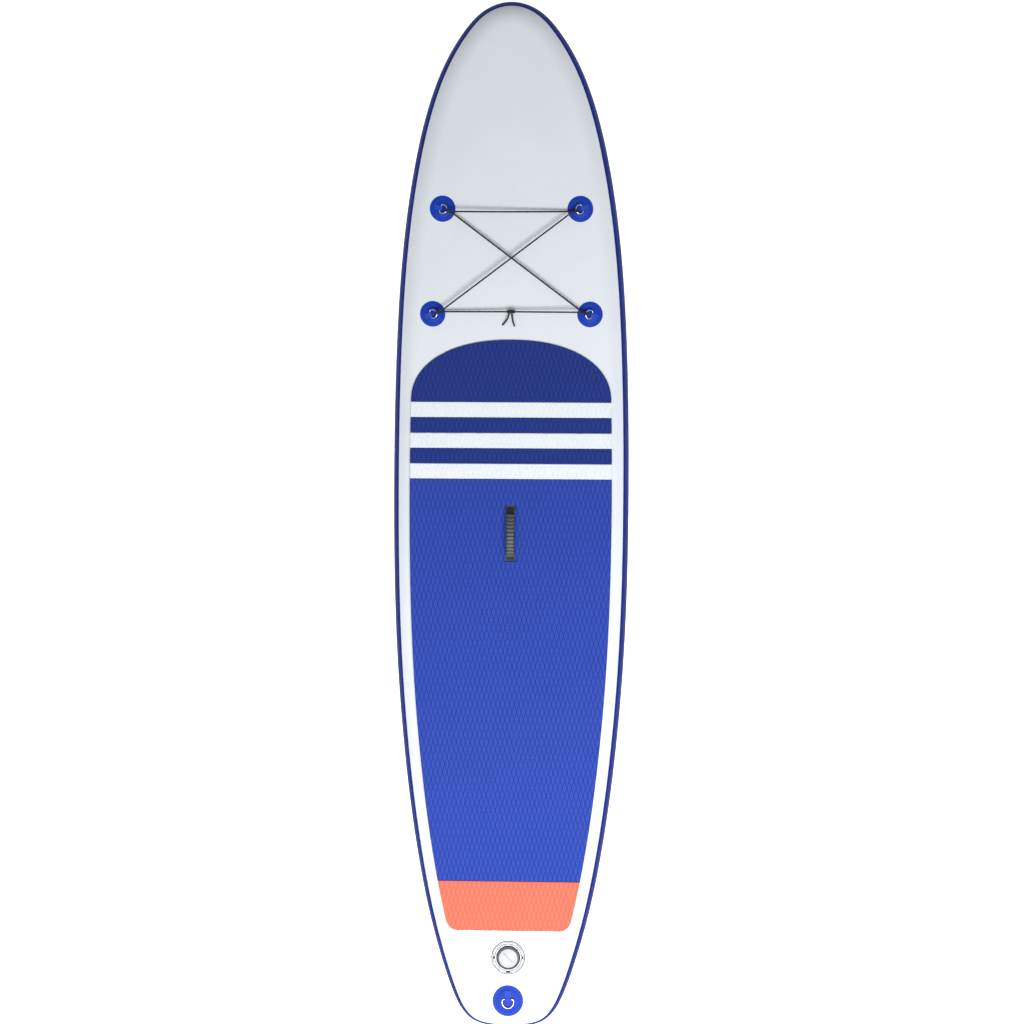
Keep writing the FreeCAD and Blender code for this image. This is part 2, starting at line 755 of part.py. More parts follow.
def make_handle():
    """Webbing strap arched through a ribbed rubber grip, on two anchor patches."""
    rise = size("handle_rise")
    mid = size("pad_thick") / 2
    radius = ((size("handle_span") / 2) ** 2 + (rise - mid) ** 2) / (2 * (rise - mid))
    base = on_layer(0, HANDLE, THICK)
    centre = Vector(0, 0, rise - radius)
    axis = Vector(1, 0, 0)

    def hoop(wide, thick):
        """A band of the arch, wide across the board and centred on the strap."""
        outer = Part.makeCylinder(radius + thick / 2, wide, centre - axis * wide / 2, axis)
        inner = Part.makeCylinder(radius - thick / 2, wide, centre - axis * wide / 2, axis)
        return outer.cut(inner)

    wide, thick = size("grip_wide"), size("grip_thick")
    dip = (wide - size("grip_waist")) / 2
    sweep = ((size("grip_long") / 2) ** 2 + dip ** 2) / (2 * dip)

    def waisted(shape, across, y=0.0):
        """The shape drawn in at its sides, least at the grip's ends and most at its middle."""
        reach = across / 2 - dip + sweep
        sides = [Part.makeCylinder(sweep, 4 * radius, Vector(side * reach, y, -radius)) for side in (1, -1)]
        return shape.cut(Part.makeCompound(sides))

    foot = size("handle_patch_thick")
    span = size("handle_span")
    above = Part.makeBox(4 * span, 4 * span, 4 * span, Vector(-2 * span, -2 * span, foot))
    strap = hoop(size("strap_wide"), size("strap_thick")).common(above)
    strap = waisted(strap, size("strap_wide"), -size("grip_setback"))
    strap.Placement = base
    feature("handle_webbing", strap)

    grip = hoop(wide, thick)
    grip = grip.makeFillet(size("grip_round"), [e for e in grip.Edges if e.BoundBox.XLength < 0.01])
    grip = waisted(grip, wide)
    end_turn = math.degrees(size("grip_long") / 2 / radius)
    for side, low in ((1, 0), (-1, -4 * radius)):
        spare = Part.makeBox(2 * wide, 4 * radius, 4 * radius, Vector(-wide, low, -2 * radius))
        spare.Placement = Placement(centre, Rotation(axis, -side * end_turn))
        grip = grip.cut(spare)
    play = 2 * size("grip_clearance")
    grip = grip.cut(waisted(hoop(size("strap_wide") + play, size("strap_thick") + play),
                            size("strap_wide") + play))
    count = int(size("groove_count"))
    step = size("grip_long") / radius / (count + 1)
    for i in range(count):
        angle = (i - (count - 1) / 2) * step
        deep = size("groove_deep")
        notch = Part.makeBox(2 * wide, size("groove_wide"), 2 * deep,
                             Vector(-wide, -size("groove_wide") / 2, radius + thick / 2 - deep))
        notch.Placement = Placement(centre, Rotation(axis, math.degrees(angle)))
        grip = grip.cut(notch)
    grip.rotate(centre, axis, math.degrees(size("grip_setback") / radius))
    grip.Placement = base * grip.Placement
    feature("handle_grip", grip)

    for name, side in (("front", 1), ("rear", -1)):
        label = "handle_patch_" + name
        patch = body(label)
        plan = sketch_in(patch, label + "_plan")
        draw_rectangle(plan, "handle_patch_wide", "handle_patch_long")
        pad(patch, plan, label + "_sheet", "handle_patch_thick")
        patch.Placement = on_layer(0, HANDLE + side * span / 2, THICK)
        keep(patch)


# ---------------------------------------------------------------- inflation valve

def disc(name, bottom, diameter, height):
    """A cylinder on the valve's axis from a height, sized by formulas of the sheet."""
    shape = primitive("Cylinder", name, None, Radius="( %s ) / 2" % diameter, Height=height)
    shape.setExpression(".Placement.Base.z", sized(bottom))
    return shape


def make_valve():
    """Collar, body with its nut and gasket, spring loaded stem and the screw cap."""
    spot = on_layer(0, VALVE, THICK)
    made = []
    made.append(cut("valve_collar", disc("collar_disc", "valve_lift", "collar_diameter", "collar_thick"),
                    [disc("collar_bore", "valve_lift", "valve_flange_diameter + 2 * valve_fit",
                          "collar_thick")]))
    low = "valve_lift - valve_body_depth"
    flange = disc("valve_flange", "valve_lift", "valve_flange_diameter", "valve_flange_thick")
    barrel = disc("valve_barrel", low, "valve_body_diameter", "valve_body_depth")
    tube_bore = disc("valve_bore", low, "valve_body_bore", "valve_body_depth + valve_flange_thick")
    shell = cut("valve_shell", fuse("valve_outside", [flange, barrel]), [tube_bore])
    seat_low = low + " + stem_disc_thick + 2 * valve_fit"
    seat = disc("valve_seat", seat_low, "valve_body_bore", "valve_web_thick")
    web = disc("valve_web", "valve_lift - valve_web_drop", "valve_body_bore", "valve_web_thick")
    holes = [disc("valve_seat_hole", seat_low, "valve_seat_bore", "valve_web_thick"),
             disc("valve_guide", "valve_lift - valve_web_drop", "stem_diameter + 2 * valve_fit",
                  "valve_web_thick")]
    for i in range(4):
        hole = disc("valve_air_%d" % i, "valve_lift - valve_web_drop", "air_hole", "valve_web_thick")
        ring = (size("valve_body_bore") + size("stem_diameter")) / 4
        hole.Placement.Base.x = ring * math.cos(math.pi / 2 * i)
        hole.Placement.Base.y = ring * math.sin(math.pi / 2 * i)
        holes.append(hole)
    inside = cut("valve_inside", fuse("valve_plates", [seat, web]), holes)
    made.append(fuse("valve_body", [shell, inside]))
    under = "0 - skin_thick - gasket_thick"
    rim = "valve_body_diameter + 2 * valve_fit"
    made.append(cut("valve_gasket", disc("gasket_disc", under, "gasket_diameter", "gasket_thick"),
                    [disc("gasket_bore", under, rim, "gasket_thick")]))
    nut = under + " - valve_nut_thick"
    made.append(cut("valve_nut", disc("nut_disc", nut, "valve_nut_diameter", "valve_nut_thick"),
                    [disc("nut_bore", nut, rim, "valve_nut_thick")]))
    disc_low = low + " + valve_fit"
    stem_long = "valve_body_depth - stem_head_drop - valve_fit"
    made.append(fuse("valve_stem", [
        disc("stem_rod", disc_low, "stem_diameter", stem_long),
        disc("stem_foot", disc_low, "stem_disc", "stem_disc_thick"),
        disc("stem_button", "valve_lift - stem_head_drop - stem_head_thick", "stem_head",
             "stem_head_thick")]))
    make_cap(made)
    for piece in made:
        piece.Placement = spot
        keep(piece)
    gap = 0.1
    foot = size("valve_lift") - size("valve_web_drop") + size("valve_web_thick") + gap
    head = size("valve_lift") - size("stem_head_drop") - size("stem_head_thick") - gap
    wire = size("spring_wire")
    height = head - foot - wire
    helix = Part.makeHelix(height / size("spring_turns"), height, size("spring_diameter") / 2 - wire / 2)
    start = Vector(size("spring_diameter") / 2 - wire / 2, 0, 0)
    coil = Part.Wire([Part.makeCircle(wire / 2, start, Vector(0, 1, 0))])
    spring = Part.Wire(helix.Edges).makePipeShell([coil], True, True)
    spring.Placement = spot * moved(z=foot + wire / 2)
    feature("valve_spring", spring)


def make_cap(made):
    """Round screw cap with a plug skirt inside the valve and a grip bar on top."""
    under = "valve_lift + valve_flange_thick + valve_fit"
    dome = body("cap_dome")
    rim = sketch_in(dome, "cap_rim", under)
    draw_circle(rim, "cap_diameter")
    shell = pad(dome, rim, "cap_disc", "cap_thick")
    doc.recompute()
    top = ["Edge%d" % (i + 1) for i, e in enumerate(shell.Shape.Edges)
           if e.BoundBox.ZMin > shell.Shape.BoundBox.ZMax - 0.01]
    edge = dome.newObject("PartDesign::Fillet", "cap_edge")
    edge.Base = (shell, top)
    bind(edge, Radius="cap_thick / 2")
    bar = primitive("Box", "cap_bar", None, Length="cap_grip_long", Width="cap_grip_wide",
                    Height="2 * cap_grip_tall")
    bar.Placement = moved(0, 0, 0, (0, 0, 1), -45) * moved(-size("cap_grip_long") / 2,
                                                           -size("cap_grip_wide") / 2)
    bar.setExpression(".Placement.Base.z", sized(under + " + cap_thick - cap_grip_tall"))
    skirt_low = under + " - cap_skirt_deep"
    skirt = disc("cap_skirt", skirt_low, "valve_body_bore - 2 * valve_fit", "cap_skirt_deep")
    hollow = disc("cap_hollow", skirt_low, "valve_body_bore - 2 * valve_fit - 2 * cap_wall",
                  "cap_skirt_deep + cap_thick - 2 * cap_wall")
    made.append(cut("valve_cap", fuse("cap_solid", [dome, bar, skirt]), [hollow]))


# ---------------------------------------------------------------- fins

def blade(chord, height, thick, sweep, top):
    """A swept fin blade hanging from a height: elliptical sections, narrowing to a round tip."""
    sections = []
    for depth in (0.0, 0.2, 0.4, 0.6, 0.78, 0.9, 0.97, 1.0):
        long = chord * max(math.sqrt(1 - depth ** 2) * (1 - 0.25 * depth), 0.09)
        lead = chord / 2 - sweep * depth ** 1.5
        tail = chord * (1 - math.sqrt(1 - depth ** 2)) * 0.18
        middle = lead - long / 2 - tail
        ratio = max(long / chord, 0.3)
        oval = Part.Ellipse(Vector(0, middle, top - height * depth), long / 2, thick * ratio / 2)
        shape = oval.toShape()
        shape.rotate(Vector(0, middle, top - height * depth), Vector(0, 0, 1), 90)
        sections.append(Part.Wire([shape]))
    return Part.makeLoft(sections, True, False)


def centred_box(name, wide, long, tall, low):
    """A box centred across and along the board, from a height, sized by formulas of the sheet."""
    box = primitive("Box", name, None, Length=wide, Width=long, Height=tall)
    box.setExpression(".Placement.Base.x", sized("0 - ( %s ) / 2" % wide))
    box.setExpression(".Placement.Base.y", sized("0 - ( %s ) / 2" % long))
    box.setExpression(".Placement.Base.z", sized(low))
    return box


def make_fin_box(spot):
    """A flanged box under the tail with a slot for the fin and a channel for its nut and pin."""
    under = "0 - fin_box_tall"
    flange = centred_box("fin_flange", "fin_base_wide", "fin_box_long + fin_box_wide",
                         "fin_base_thick", "0 - fin_base_thick")
    block = centred_box("fin_block", "fin_box_wide", "fin_box_long", "fin_box_tall", under)
    slot = centred_box("fin_slot", "fin_slot_wide", "fin_slot_long", "fin_slot_deep", under)
    channel = centred_box("fin_channel", "channel_wide", "fin_slot_long", "channel_tall",
                          "fin_channel_top - channel_tall")
    box = cut("fin_box", fuse("fin_box_solid", [flange, block]), [slot, channel])
    box.Placement = spot
    keep(box)


def make_centre_fin(spot):
    """The removable fin with its tang, front tab, cross pin, clamping screw and nut."""
    low = -size("fin_box_tall") - size("fin_gap")
    half = size("fin_chord") / 2
    thick = size("fin_thick")
    channel = size("fin_channel_top") - size("channel_tall") / 2
    fin = blade(size("fin_chord"), size("fin_height"), thick, size("fin_sweep"), low)
    tang_top = -size("fin_box_tall") + size("fin_tang_deep")
    tang = Part.makeBox(thick, 2 * half - thick, tang_top - low, Vector(-thick / 2, thick / 2 - half, low))
    tab_long, tab_thick = size("fin_tab_long"), size("fin_tab_thick")
    tab = Part.makeBox(thick, tab_long + thick, tab_thick, Vector(-thick / 2, half - thick, low))
    screw_y = half + tab_long / 2
    screw = size("fin_screw_diameter") / 2
    pin = size("fin_pin_diameter") / 2
    pin_y = thick + pin - half
    pin_long = size("channel_wide") - 2 * size("fin_gap")
    pin_hole = Part.makeCylinder(pin, pin_long, Vector(-pin_long / 2, pin_y, channel), Vector(1, 0, 0))
    screw_hole = Part.makeCylinder(screw + size("valve_fit"), 2 * tab_thick,
                                   Vector(0, screw_y, low - tab_thick / 2))
    shape = fin.fuse([tang, tab]).cut([pin_hole, screw_hole])
    shape.Placement = spot
    feature("centre_fin", shape)
    rod = pin_hole.copy()
    rod.Placement = spot
    feature("fin_pin", rod)
    knob_low = low - size("fin_gap") - size("fin_knob_thick")
    knob = primitive("Cylinder", "fin_knob", moved(0, screw_y, knob_low),
                     Radius="fin_knob_diameter / 2", Height="fin_knob_thick")
    shank = primitive("Cylinder", "fin_shank", moved(0, screw_y, knob_low),
                      Radius="fin_screw_diameter / 2", Height="fin_knob_thick + fin_screw_long")
    bolt = fuse("fin_screw", [knob, shank])
    bolt.Placement = spot
    keep(bolt)
    wide = size("channel_wide") - 2 * size("fin_gap")
    tall = size("channel_tall") - size("fin_gap")
    nut = Part.makeBox(wide, wide, tall, Vector(-wide / 2, screw_y - wide / 2, channel - tall / 2))
    thread = Part.makeCylinder(screw + size("thread_play"), 2 * tall, Vector(0, screw_y, channel - tall))
    nut = nut.cut(thread)
    nut.Placement = spot
    feature("fin_nut", nut)


def make_side_fins():
    """Two small flexible fins, each on a bonded base."""
    y = FIN + size("side_fin_ahead")
    x = half_width_at(y) - size("side_fin_inset")
    for name, side in (("left", -1), ("right", 1)):
        spot = on_layer(side * x, y, 0)
        label = "side_fin_base_" + name
        base = body(label)
        plan = sketch_in(base, label + "_plan")
        draw_rectangle(plan, "side_base_wide", "side_base_long")
        plate = pad(base, plan, label + "_plate", "side_base_thick", down=True)
        doc.recompute()
        corners = ["Edge%d" % (i + 1) for i, e in enumerate(plate.Shape.Edges)
                   if e.BoundBox.ZLength > e.BoundBox.XLength + e.BoundBox.YLength]
        round_off = base.newObject("PartDesign::Fillet", label + "_corners")
        round_off.Base = (plate, corners)
        bind(round_off, Radius="side_base_wide * 0.4")
        base.Placement = spot
        keep(base)
        fin = blade(size("side_fin_chord"), size("side_fin_height"), size("side_fin_thick"),
                    size("side_fin_sweep"), -size("side_base_thick"))
        fin.Placement = spot
        feature("side_fin_" + name, fin)


def make_fins():
    """Centre fin in its box and the two side fins."""
    spot = on_layer(0, FIN, 0)
    make_fin_box(spot)
    make_centre_fin(spot)
    make_side_fins()


# ---------------------------------------------------------------- build, check, write

make_hull()
make_threads()
make_pads()
make_rings()
make_bungee()
make_handle()
make_valve()
make_fins()
doc.recompute()

for item in doc.Objects:
    if "Invalid" in item.State or "Error" in item.State:
        raise RuntimeError("%s failed: %s" % (item.Label, item.State))
for piece in pieces:
    if piece.Shape.isNull() or not piece.Shape.isValid():
        raise RuntimeError("%s has no valid shape" % piece.Label)

os.makedirs("parts", exist_ok=True)
for piece in pieces:
    piece.Shape.exportStep("parts/%s.step" % piece.Label)
print(len(pieces), "pieces written")
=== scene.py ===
import math

import bmesh
import bpy
import numpy as np
from mathutils import Matrix, Quaternion, Vector, geometry


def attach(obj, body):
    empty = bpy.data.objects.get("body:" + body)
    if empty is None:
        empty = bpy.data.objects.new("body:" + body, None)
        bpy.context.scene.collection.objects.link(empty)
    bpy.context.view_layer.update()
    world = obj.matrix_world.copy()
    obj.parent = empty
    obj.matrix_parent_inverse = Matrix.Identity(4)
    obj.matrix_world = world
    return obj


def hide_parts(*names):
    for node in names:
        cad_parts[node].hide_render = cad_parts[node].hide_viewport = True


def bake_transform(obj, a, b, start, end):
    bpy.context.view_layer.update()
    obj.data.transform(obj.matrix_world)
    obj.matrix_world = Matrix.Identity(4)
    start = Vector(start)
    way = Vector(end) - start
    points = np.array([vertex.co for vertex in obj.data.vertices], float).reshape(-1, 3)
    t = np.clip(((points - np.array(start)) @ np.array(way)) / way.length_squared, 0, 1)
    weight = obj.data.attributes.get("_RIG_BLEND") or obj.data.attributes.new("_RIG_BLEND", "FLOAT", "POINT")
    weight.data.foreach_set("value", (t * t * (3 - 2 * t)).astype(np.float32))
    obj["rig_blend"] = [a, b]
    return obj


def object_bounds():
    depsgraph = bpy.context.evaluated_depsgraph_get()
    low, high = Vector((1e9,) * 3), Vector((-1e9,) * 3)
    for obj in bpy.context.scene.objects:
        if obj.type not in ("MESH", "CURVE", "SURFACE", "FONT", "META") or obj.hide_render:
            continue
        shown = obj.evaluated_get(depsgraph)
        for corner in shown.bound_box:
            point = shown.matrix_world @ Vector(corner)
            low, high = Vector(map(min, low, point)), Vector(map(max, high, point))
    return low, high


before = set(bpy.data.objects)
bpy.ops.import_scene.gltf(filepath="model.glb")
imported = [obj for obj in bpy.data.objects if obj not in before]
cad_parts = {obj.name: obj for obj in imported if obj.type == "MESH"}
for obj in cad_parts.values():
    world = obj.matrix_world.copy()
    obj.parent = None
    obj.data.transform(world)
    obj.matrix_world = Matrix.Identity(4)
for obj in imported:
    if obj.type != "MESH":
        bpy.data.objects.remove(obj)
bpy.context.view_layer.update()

scene = bpy.context.scene


# ---------------------------------------------------------------- camera
# A long lens five metres above the deck, a little towards the nose and to starboard,
# aimed just ahead of the board's middle and turned a quarter of a degree.

AIM = Vector((0.0035, 0.069, 0.1))
CAMERA_SIDE, CAMERA_AHEAD, CAMERA_AWAY = 1.5, 5.2, 5.0

camera = bpy.data.objects.new("camera", bpy.data.cameras.new("camera"))
scene.collection.objects.link(camera)
camera.data.sensor_width = 36.0
camera.data.lens = 54.4
away = Vector((math.tan(math.radians(CAMERA_SIDE)), math.tan(math.radians(CAMERA_AHEAD)), 1)).normalized()
camera.location = AIM + away * CAMERA_AWAY
camera.rotation_mode = "QUATERNION"
across = Vector((0, 1, 0)).cross(away).normalized()
upright = Matrix((across, away.cross(across), away)).transposed().to_quaternion()
camera.rotation_quaternion = upright @ Quaternion((0, 0, 1), math.radians(0.28))
scene.camera = camera


# ---------------------------------------------------------------- the board's own surface
# Every deck piece is laid flat and then bent to the rocker: the deck and the bottom are
# parallel, flat in the middle, and curve up over one radius at the nose and one at the tail.

HALF_LENGTH, HALF_WIDTH, THICK = 1.635, 0.380, 0.150
NOSE_START, NOSE_RADIUS = 0.250, 5.200
TAIL_START, TAIL_RADIUS = -1.000, 4.500


def rocker(y, height):
    """Slope angle and Z of the layer at a height above the bottom, at station Y."""
    if y > NOSE_START:
        angle = math.asin((y - NOSE_START) / (NOSE_RADIUS - height))
        return angle, NOSE_RADIUS - (NOSE_RADIUS - height) * math.cos(angle)
    if y < TAIL_START:
        angle = math.asin((y - TAIL_START) / (TAIL_RADIUS - height))
        return angle, TAIL_RADIUS - (TAIL_RADIUS - height) * math.cos(angle)
    return 0.0, height


def on_board(x, y, height=THICK, lift=0.0, turn=0.0):
    """Placement on a layer of the board: local Z along its normal, local Y to the nose."""
    angle, z = rocker(y, height)
    return (Matrix.Translation((x, y, z)) @ Matrix.Rotation(angle, 4, "X")
            @ Matrix.Translation((0, 0, lift)) @ Matrix.Rotation(math.radians(turn), 4, "Z"))


def bend_to_board(bm):
    """Bend a flat lay-up, whose Z is the height above the bottom, to the rocker."""
    for v in bm.verts:
        v.co.z = rocker(v.co.y, v.co.z)[1]


def make_piece(name, bm, material, body, replaces=(), smooth=40):
    """Write a finished bmesh as a piece that rides on a body and stands for its CAD nodes."""
    mesh = bpy.data.meshes.new(name)
    bm.to_mesh(mesh)
    bm.free()
    piece = bpy.data.objects.new(name, mesh)
    scene.collection.objects.link(piece)
    mesh.materials.append(material)
    mesh.shade_smooth()
    mesh.set_sharp_from_angle(angle=math.radians(smooth))
    if body:
        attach(piece, body)
    if replaces:
        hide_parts(*replaces)
    return piece


def new_material(name, roughness, metallic=0.0):
    """A material with its node tree and shader ready for the finish's own nodes."""
    material = bpy.data.materials.new(name)
    material.use_nodes = True
    tree = material.node_tree
    shader = tree.nodes["Principled BSDF"]
    shader.inputs["Roughness"].default_value = roughness
    shader.inputs["Metallic"].default_value = metallic
    return material, tree, shader


def node(tree, kind, **values):
    """Add a node; keys that name an input set it, and the rest are properties."""
    made = tree.nodes.new(kind)
    for key, value in values.items():
        label = key.replace("_", " ")
        if label in made.inputs:
            made.inputs[label].default_value = value
        else:
            setattr(made, key, value)
    return made


def two_tone(tree, shader, factor, colour, shade):
    """Colour a surface between two tones by a mask."""
    tone = node(tree, "ShaderNodeMix", data_type="RGBA")
    tone.inputs["A"].default_value = (*colour, 1)
    tone.inputs["B"].default_value = (*shade, 1)
    tree.links.new(factor, tone.inputs["Factor"])
    tree.links.new(tone.outputs["Result"], shader.inputs["Base Color"])


def drift_gloss(tree, shader, factor, smooth, rough):
    """Let the roughness drift between two values by a mask."""
    gloss = node(tree, "ShaderNodeMapRange", To_Min=smooth, To_Max=rough)
    tree.links.new(factor, gloss.inputs["Value"])
    tree.links.new(gloss.outputs["Result"], shader.inputs["Roughness"])


def relief(tree, shader, height, strength, distance):
    """Raise a surface's fine texture with a bump."""
    bump = node(tree, "ShaderNodeBump", Strength=strength, Distance=distance)
    tree.links.new(height, bump.inputs["Height"])
    tree.links.new(bump.outputs["Normal"], shader.inputs["Normal"])


# ---------------------------------------------------------------- bungee tails
# The two cut ends of the cargo bungee leave the knot and fall to the deck. Braided black
# shock cord, 5 mm. Their route is the same as the CAD solids' route.

CORD = 0.005
FRONT_RING_X, FRONT_RING_Y = 0.213845, 1.024
REAR_RING_X, REAR_RING_Y = 0.247750, 0.701
RING_AIM = math.degrees(math.atan2(FRONT_RING_Y - REAR_RING_Y, FRONT_RING_X + REAR_RING_X)) / 2
RING_LIFT, RING_SETBACK, BAR_HEIGHT = 0.0003, 0.006, 0.00555
RING_REACH, RING_TILT = 0.021, math.radians(22)
RING_SPOTS = {
    "front_left": on_board(-FRONT_RING_X, FRONT_RING_Y, THICK, RING_LIFT, -90 - RING_AIM),
    "front_right": on_board(FRONT_RING_X, FRONT_RING_Y, THICK, RING_LIFT, 90 + RING_AIM),
    "rear_left": on_board(-REAR_RING_X, REAR_RING_Y, THICK, RING_LIFT, -90 + RING_AIM),
    "rear_right": on_board(REAR_RING_X, REAR_RING_Y, THICK, RING_LIFT, 90 - RING_AIM),
}
WRAP, LEAD = 0.005, 0.014
BOW = Vector((0, -RING_SETBACK + RING_REACH * math.cos(RING_TILT),
              BAR_HEIGHT + RING_REACH * math.sin(RING_TILT)))


def ring_point(name, x, y, z):
    """A point beside a ring's bow, in the ring's own frame, carried to the board."""
    return RING_SPOTS[name] @ (BOW + Vector((x, y, z)))


def braid_material(name, colour):
    """Braided sheath: two crossed sets of fine ribs, with painted shade that darkens the colour between them.
    """
    material, tree, shader = new_material(name, 0.62)
    coords = node(tree, "ShaderNodeTexCoord")
    ribs = []
    for turn in (45, -45):
        place = node(tree, "ShaderNodeMapping")
        place.inputs["Rotation"].default_value = (math.radians(30), 0, math.radians(turn))
        tree.links.new(coords.outputs["Object"], place.inputs["Vector"])
        wave = node(tree, "ShaderNodeTexWave", Scale=620.0, Distortion=0.6, Detail=1.0)
        tree.links.new(place.outputs["Vector"], wave.inputs["Vector"])
        ribs.append(wave.outputs["Fac"])
    both = node(tree, "ShaderNodeMath", operation="MAXIMUM")
    tree.links.new(ribs[0], both.inputs[0])
    tree.links.new(ribs[1], both.inputs[1])
    # Painted shade: between the ribs, where the bump sinks, the colour falls to 0.4 of itself.
    ramp = node(tree, "ShaderNodeValToRGB")
    ramp.color_ramp.elements[0].color = (*[c * 0.4 for c in colour], 1)
    ramp.color_ramp.elements[1].color = (*colour, 1)
    tree.links.new(both.outputs[0], ramp.inputs["Fac"])
    tree.links.new(ramp.outputs["Color"], shader.inputs["Base Color"])
    relief(tree, shader, both.outputs[0], 0.5, 0.0004)
    return material


shock_cord = braid_material("shock_cord", (0.016, 0.017, 0.022))


def cord_line(name, route, spans=10):
    """A smooth cord on one NURBS line that has the route's points as its control points."""
    curve = bpy.data.curves.new(name, "CURVE")
    curve.dimensions = "3D"
    curve.resolution_u = spans
    curve.bevel_depth = CORD / 2
    curve.bevel_resolution = 4
    curve.use_fill_caps = True
    line = curve.splines.new("NURBS")
    line.points.add(len(route) - 1)
    for point, place in zip(line.points, route):
        point.co = (*place, 1)
    line.order_u = 3
    line.use_endpoint_u = True
    curve.materials.append(shock_cord)
    cord = bpy.data.objects.new(name, curve)
    scene.collection.objects.link(cord)
    return cord


def cord_mesh(cord):
    """The same cord as a mesh, at the origin."""
    bpy.context.view_layer.update()
    mesh = bpy.data.meshes.new_from_object(cord.evaluated_get(bpy.context.evaluated_depsgraph_get()))
    name = cord.name
    bpy.data.objects.remove(cord)
    piece = bpy.data.objects.new(name, mesh)
    scene.collection.objects.link(piece)
    mesh.shade_smooth()
    return piece


KNOT = (ring_point("rear_left", 0, LEAD, -WRAP) + ring_point("rear_right", 0, LEAD, WRAP)) / 2
TAILS = {
    "bungee_tail_left": [(-0.006, -0.003, 0.0145), (-0.0085, -0.017, 0.011), (-0.017, -0.031, 0.006),
                         (-0.028, -0.042, 0.0032)],
    "bungee_tail_right": [(0.002, -0.003, 0.0145), (0.0035, -0.017, 0.011), (0.005, -0.031, 0.006),
                          (0.0105, -0.045, 0.0032)],
}
for name, offsets in TAILS.items():
    route = [on_board(KNOT.x + x, KNOT.y + y, THICK + height).to_translation() for x, y, height in offsets]
    tail = cord_line(name + "_cord", route)
    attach(tail, "board")
    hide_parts(name)


# ---------------------------------------------------------------- cargo bungee
# One elastic cord laced round the four rings: a line across the front pair, a cross, and a
# line across the rear pair, with two turns round each ring and a barrel knot in the rear line.

CROSS_HIGH = (ring_point("front_right", 0, LEAD, WRAP) + ring_point("rear_left", 0, LEAD, WRAP)) / 2
CROSS_LOW = (ring_point("front_left", 0, LEAD, -WRAP) + ring_point("rear_right", 0, LEAD, -WRAP)) / 2
FRONT_MIDDLE = (ring_point("front_left", 0, LEAD, WRAP) + ring_point("front_right", 0, LEAD, -WRAP)) / 2
# ring: where the cord comes from, on which side of the bow, which side of the ring, where it goes
LEGS = {
    "front_left": (CROSS_LOW, -1, 1, FRONT_MIDDLE),
    "front_right": (FRONT_MIDDLE, -1, 1, CROSS_HIGH),
    "rear_left": (CROSS_HIGH, 1, -1, KNOT),
    "rear_right": (KNOT, 1, -1, CROSS_LOW),
}
TURN_STEP = 0.0027

for name, (come_from, side, lean, go_to) in LEGS.items():
    turns = [(lean, LEAD + 0.006, side), (lean, 0.004, side * 1.05),
             (lean, -WRAP, side), (lean, -WRAP, -side),
             (0, WRAP, -side), (0, WRAP, side), (-lean, -WRAP, side), (-lean, -WRAP, -side),
             (-lean, 0.004, -side * 1.05), (-lean, LEAD + 0.006, -side)]
    round_ring = [ring_point(name, x * TURN_STEP, y, z * WRAP) for x, y, z in turns]
    first, last = round_ring[0], round_ring[-1]
    route = [come_from, come_from.lerp(first, 0.5), come_from.lerp(first, 0.9)] + round_ring
    route += [last.lerp(go_to, 0.1), last.lerp(go_to, 0.5), go_to]
    leg = cord_mesh(cord_line("bungee_" + name, route, 12))
    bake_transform(leg, "board", "ring_" + name, start=ring_point(name, 0, 0.11, 0),
             end=ring_point(name, 0, 0.012, 0))
    if name == "rear_right":
        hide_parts("bungee_cord")

knot_turns = []
KNOT_TURNS, KNOT_HALF = 5, 0.0115
for step in range(KNOT_TURNS * 6 + 1):
    along = step / (KNOT_TURNS * 6)
    angle = math.radians(60 * step)
    swell = 0.0030 + 0.0012 * math.sin(math.pi * along)
    knot_turns.append(KNOT + Vector(((2 * along - 1) * KNOT_HALF, swell * math.cos(angle),
                                     swell * math.sin(angle))))
knot = cord_mesh(cord_line("bungee_knot_turns", knot_turns, 6))
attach(knot, "board")
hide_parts("bungee_knot")


# ---------------------------------------------------------------- hull skins
# Two skins of white PVC-coated fabric, 1.2 mm, welded edge to edge round a half-round rail.
# The deck skin has a round hole near the tail for the inflation valve.

OUTLINE = [
    (1.0, 0.0), (0.983, 0.234), (0.949, 0.384), (0.897, 0.532), (0.827, 0.664), (0.719, 0.792),
    (0.552, 0.908), (0.361, 0.971), (0.066, 1.0), (-0.235, 0.976), (-0.439, 0.913), (-0.646, 0.801),
    (-0.791, 0.676), (-0.872, 0.577), (-0.933, 0.483), (-0.966, 0.408), (-0.987, 0.313),
    (-0.997, 0.184), (-1.0, 0.0),
]
HALF_STATIONS = 150
RAIL = THICK / 2
SKIN_THICK = 0.0012
VALVE_Y, VALVE_HOLE = -1.389, 0.046


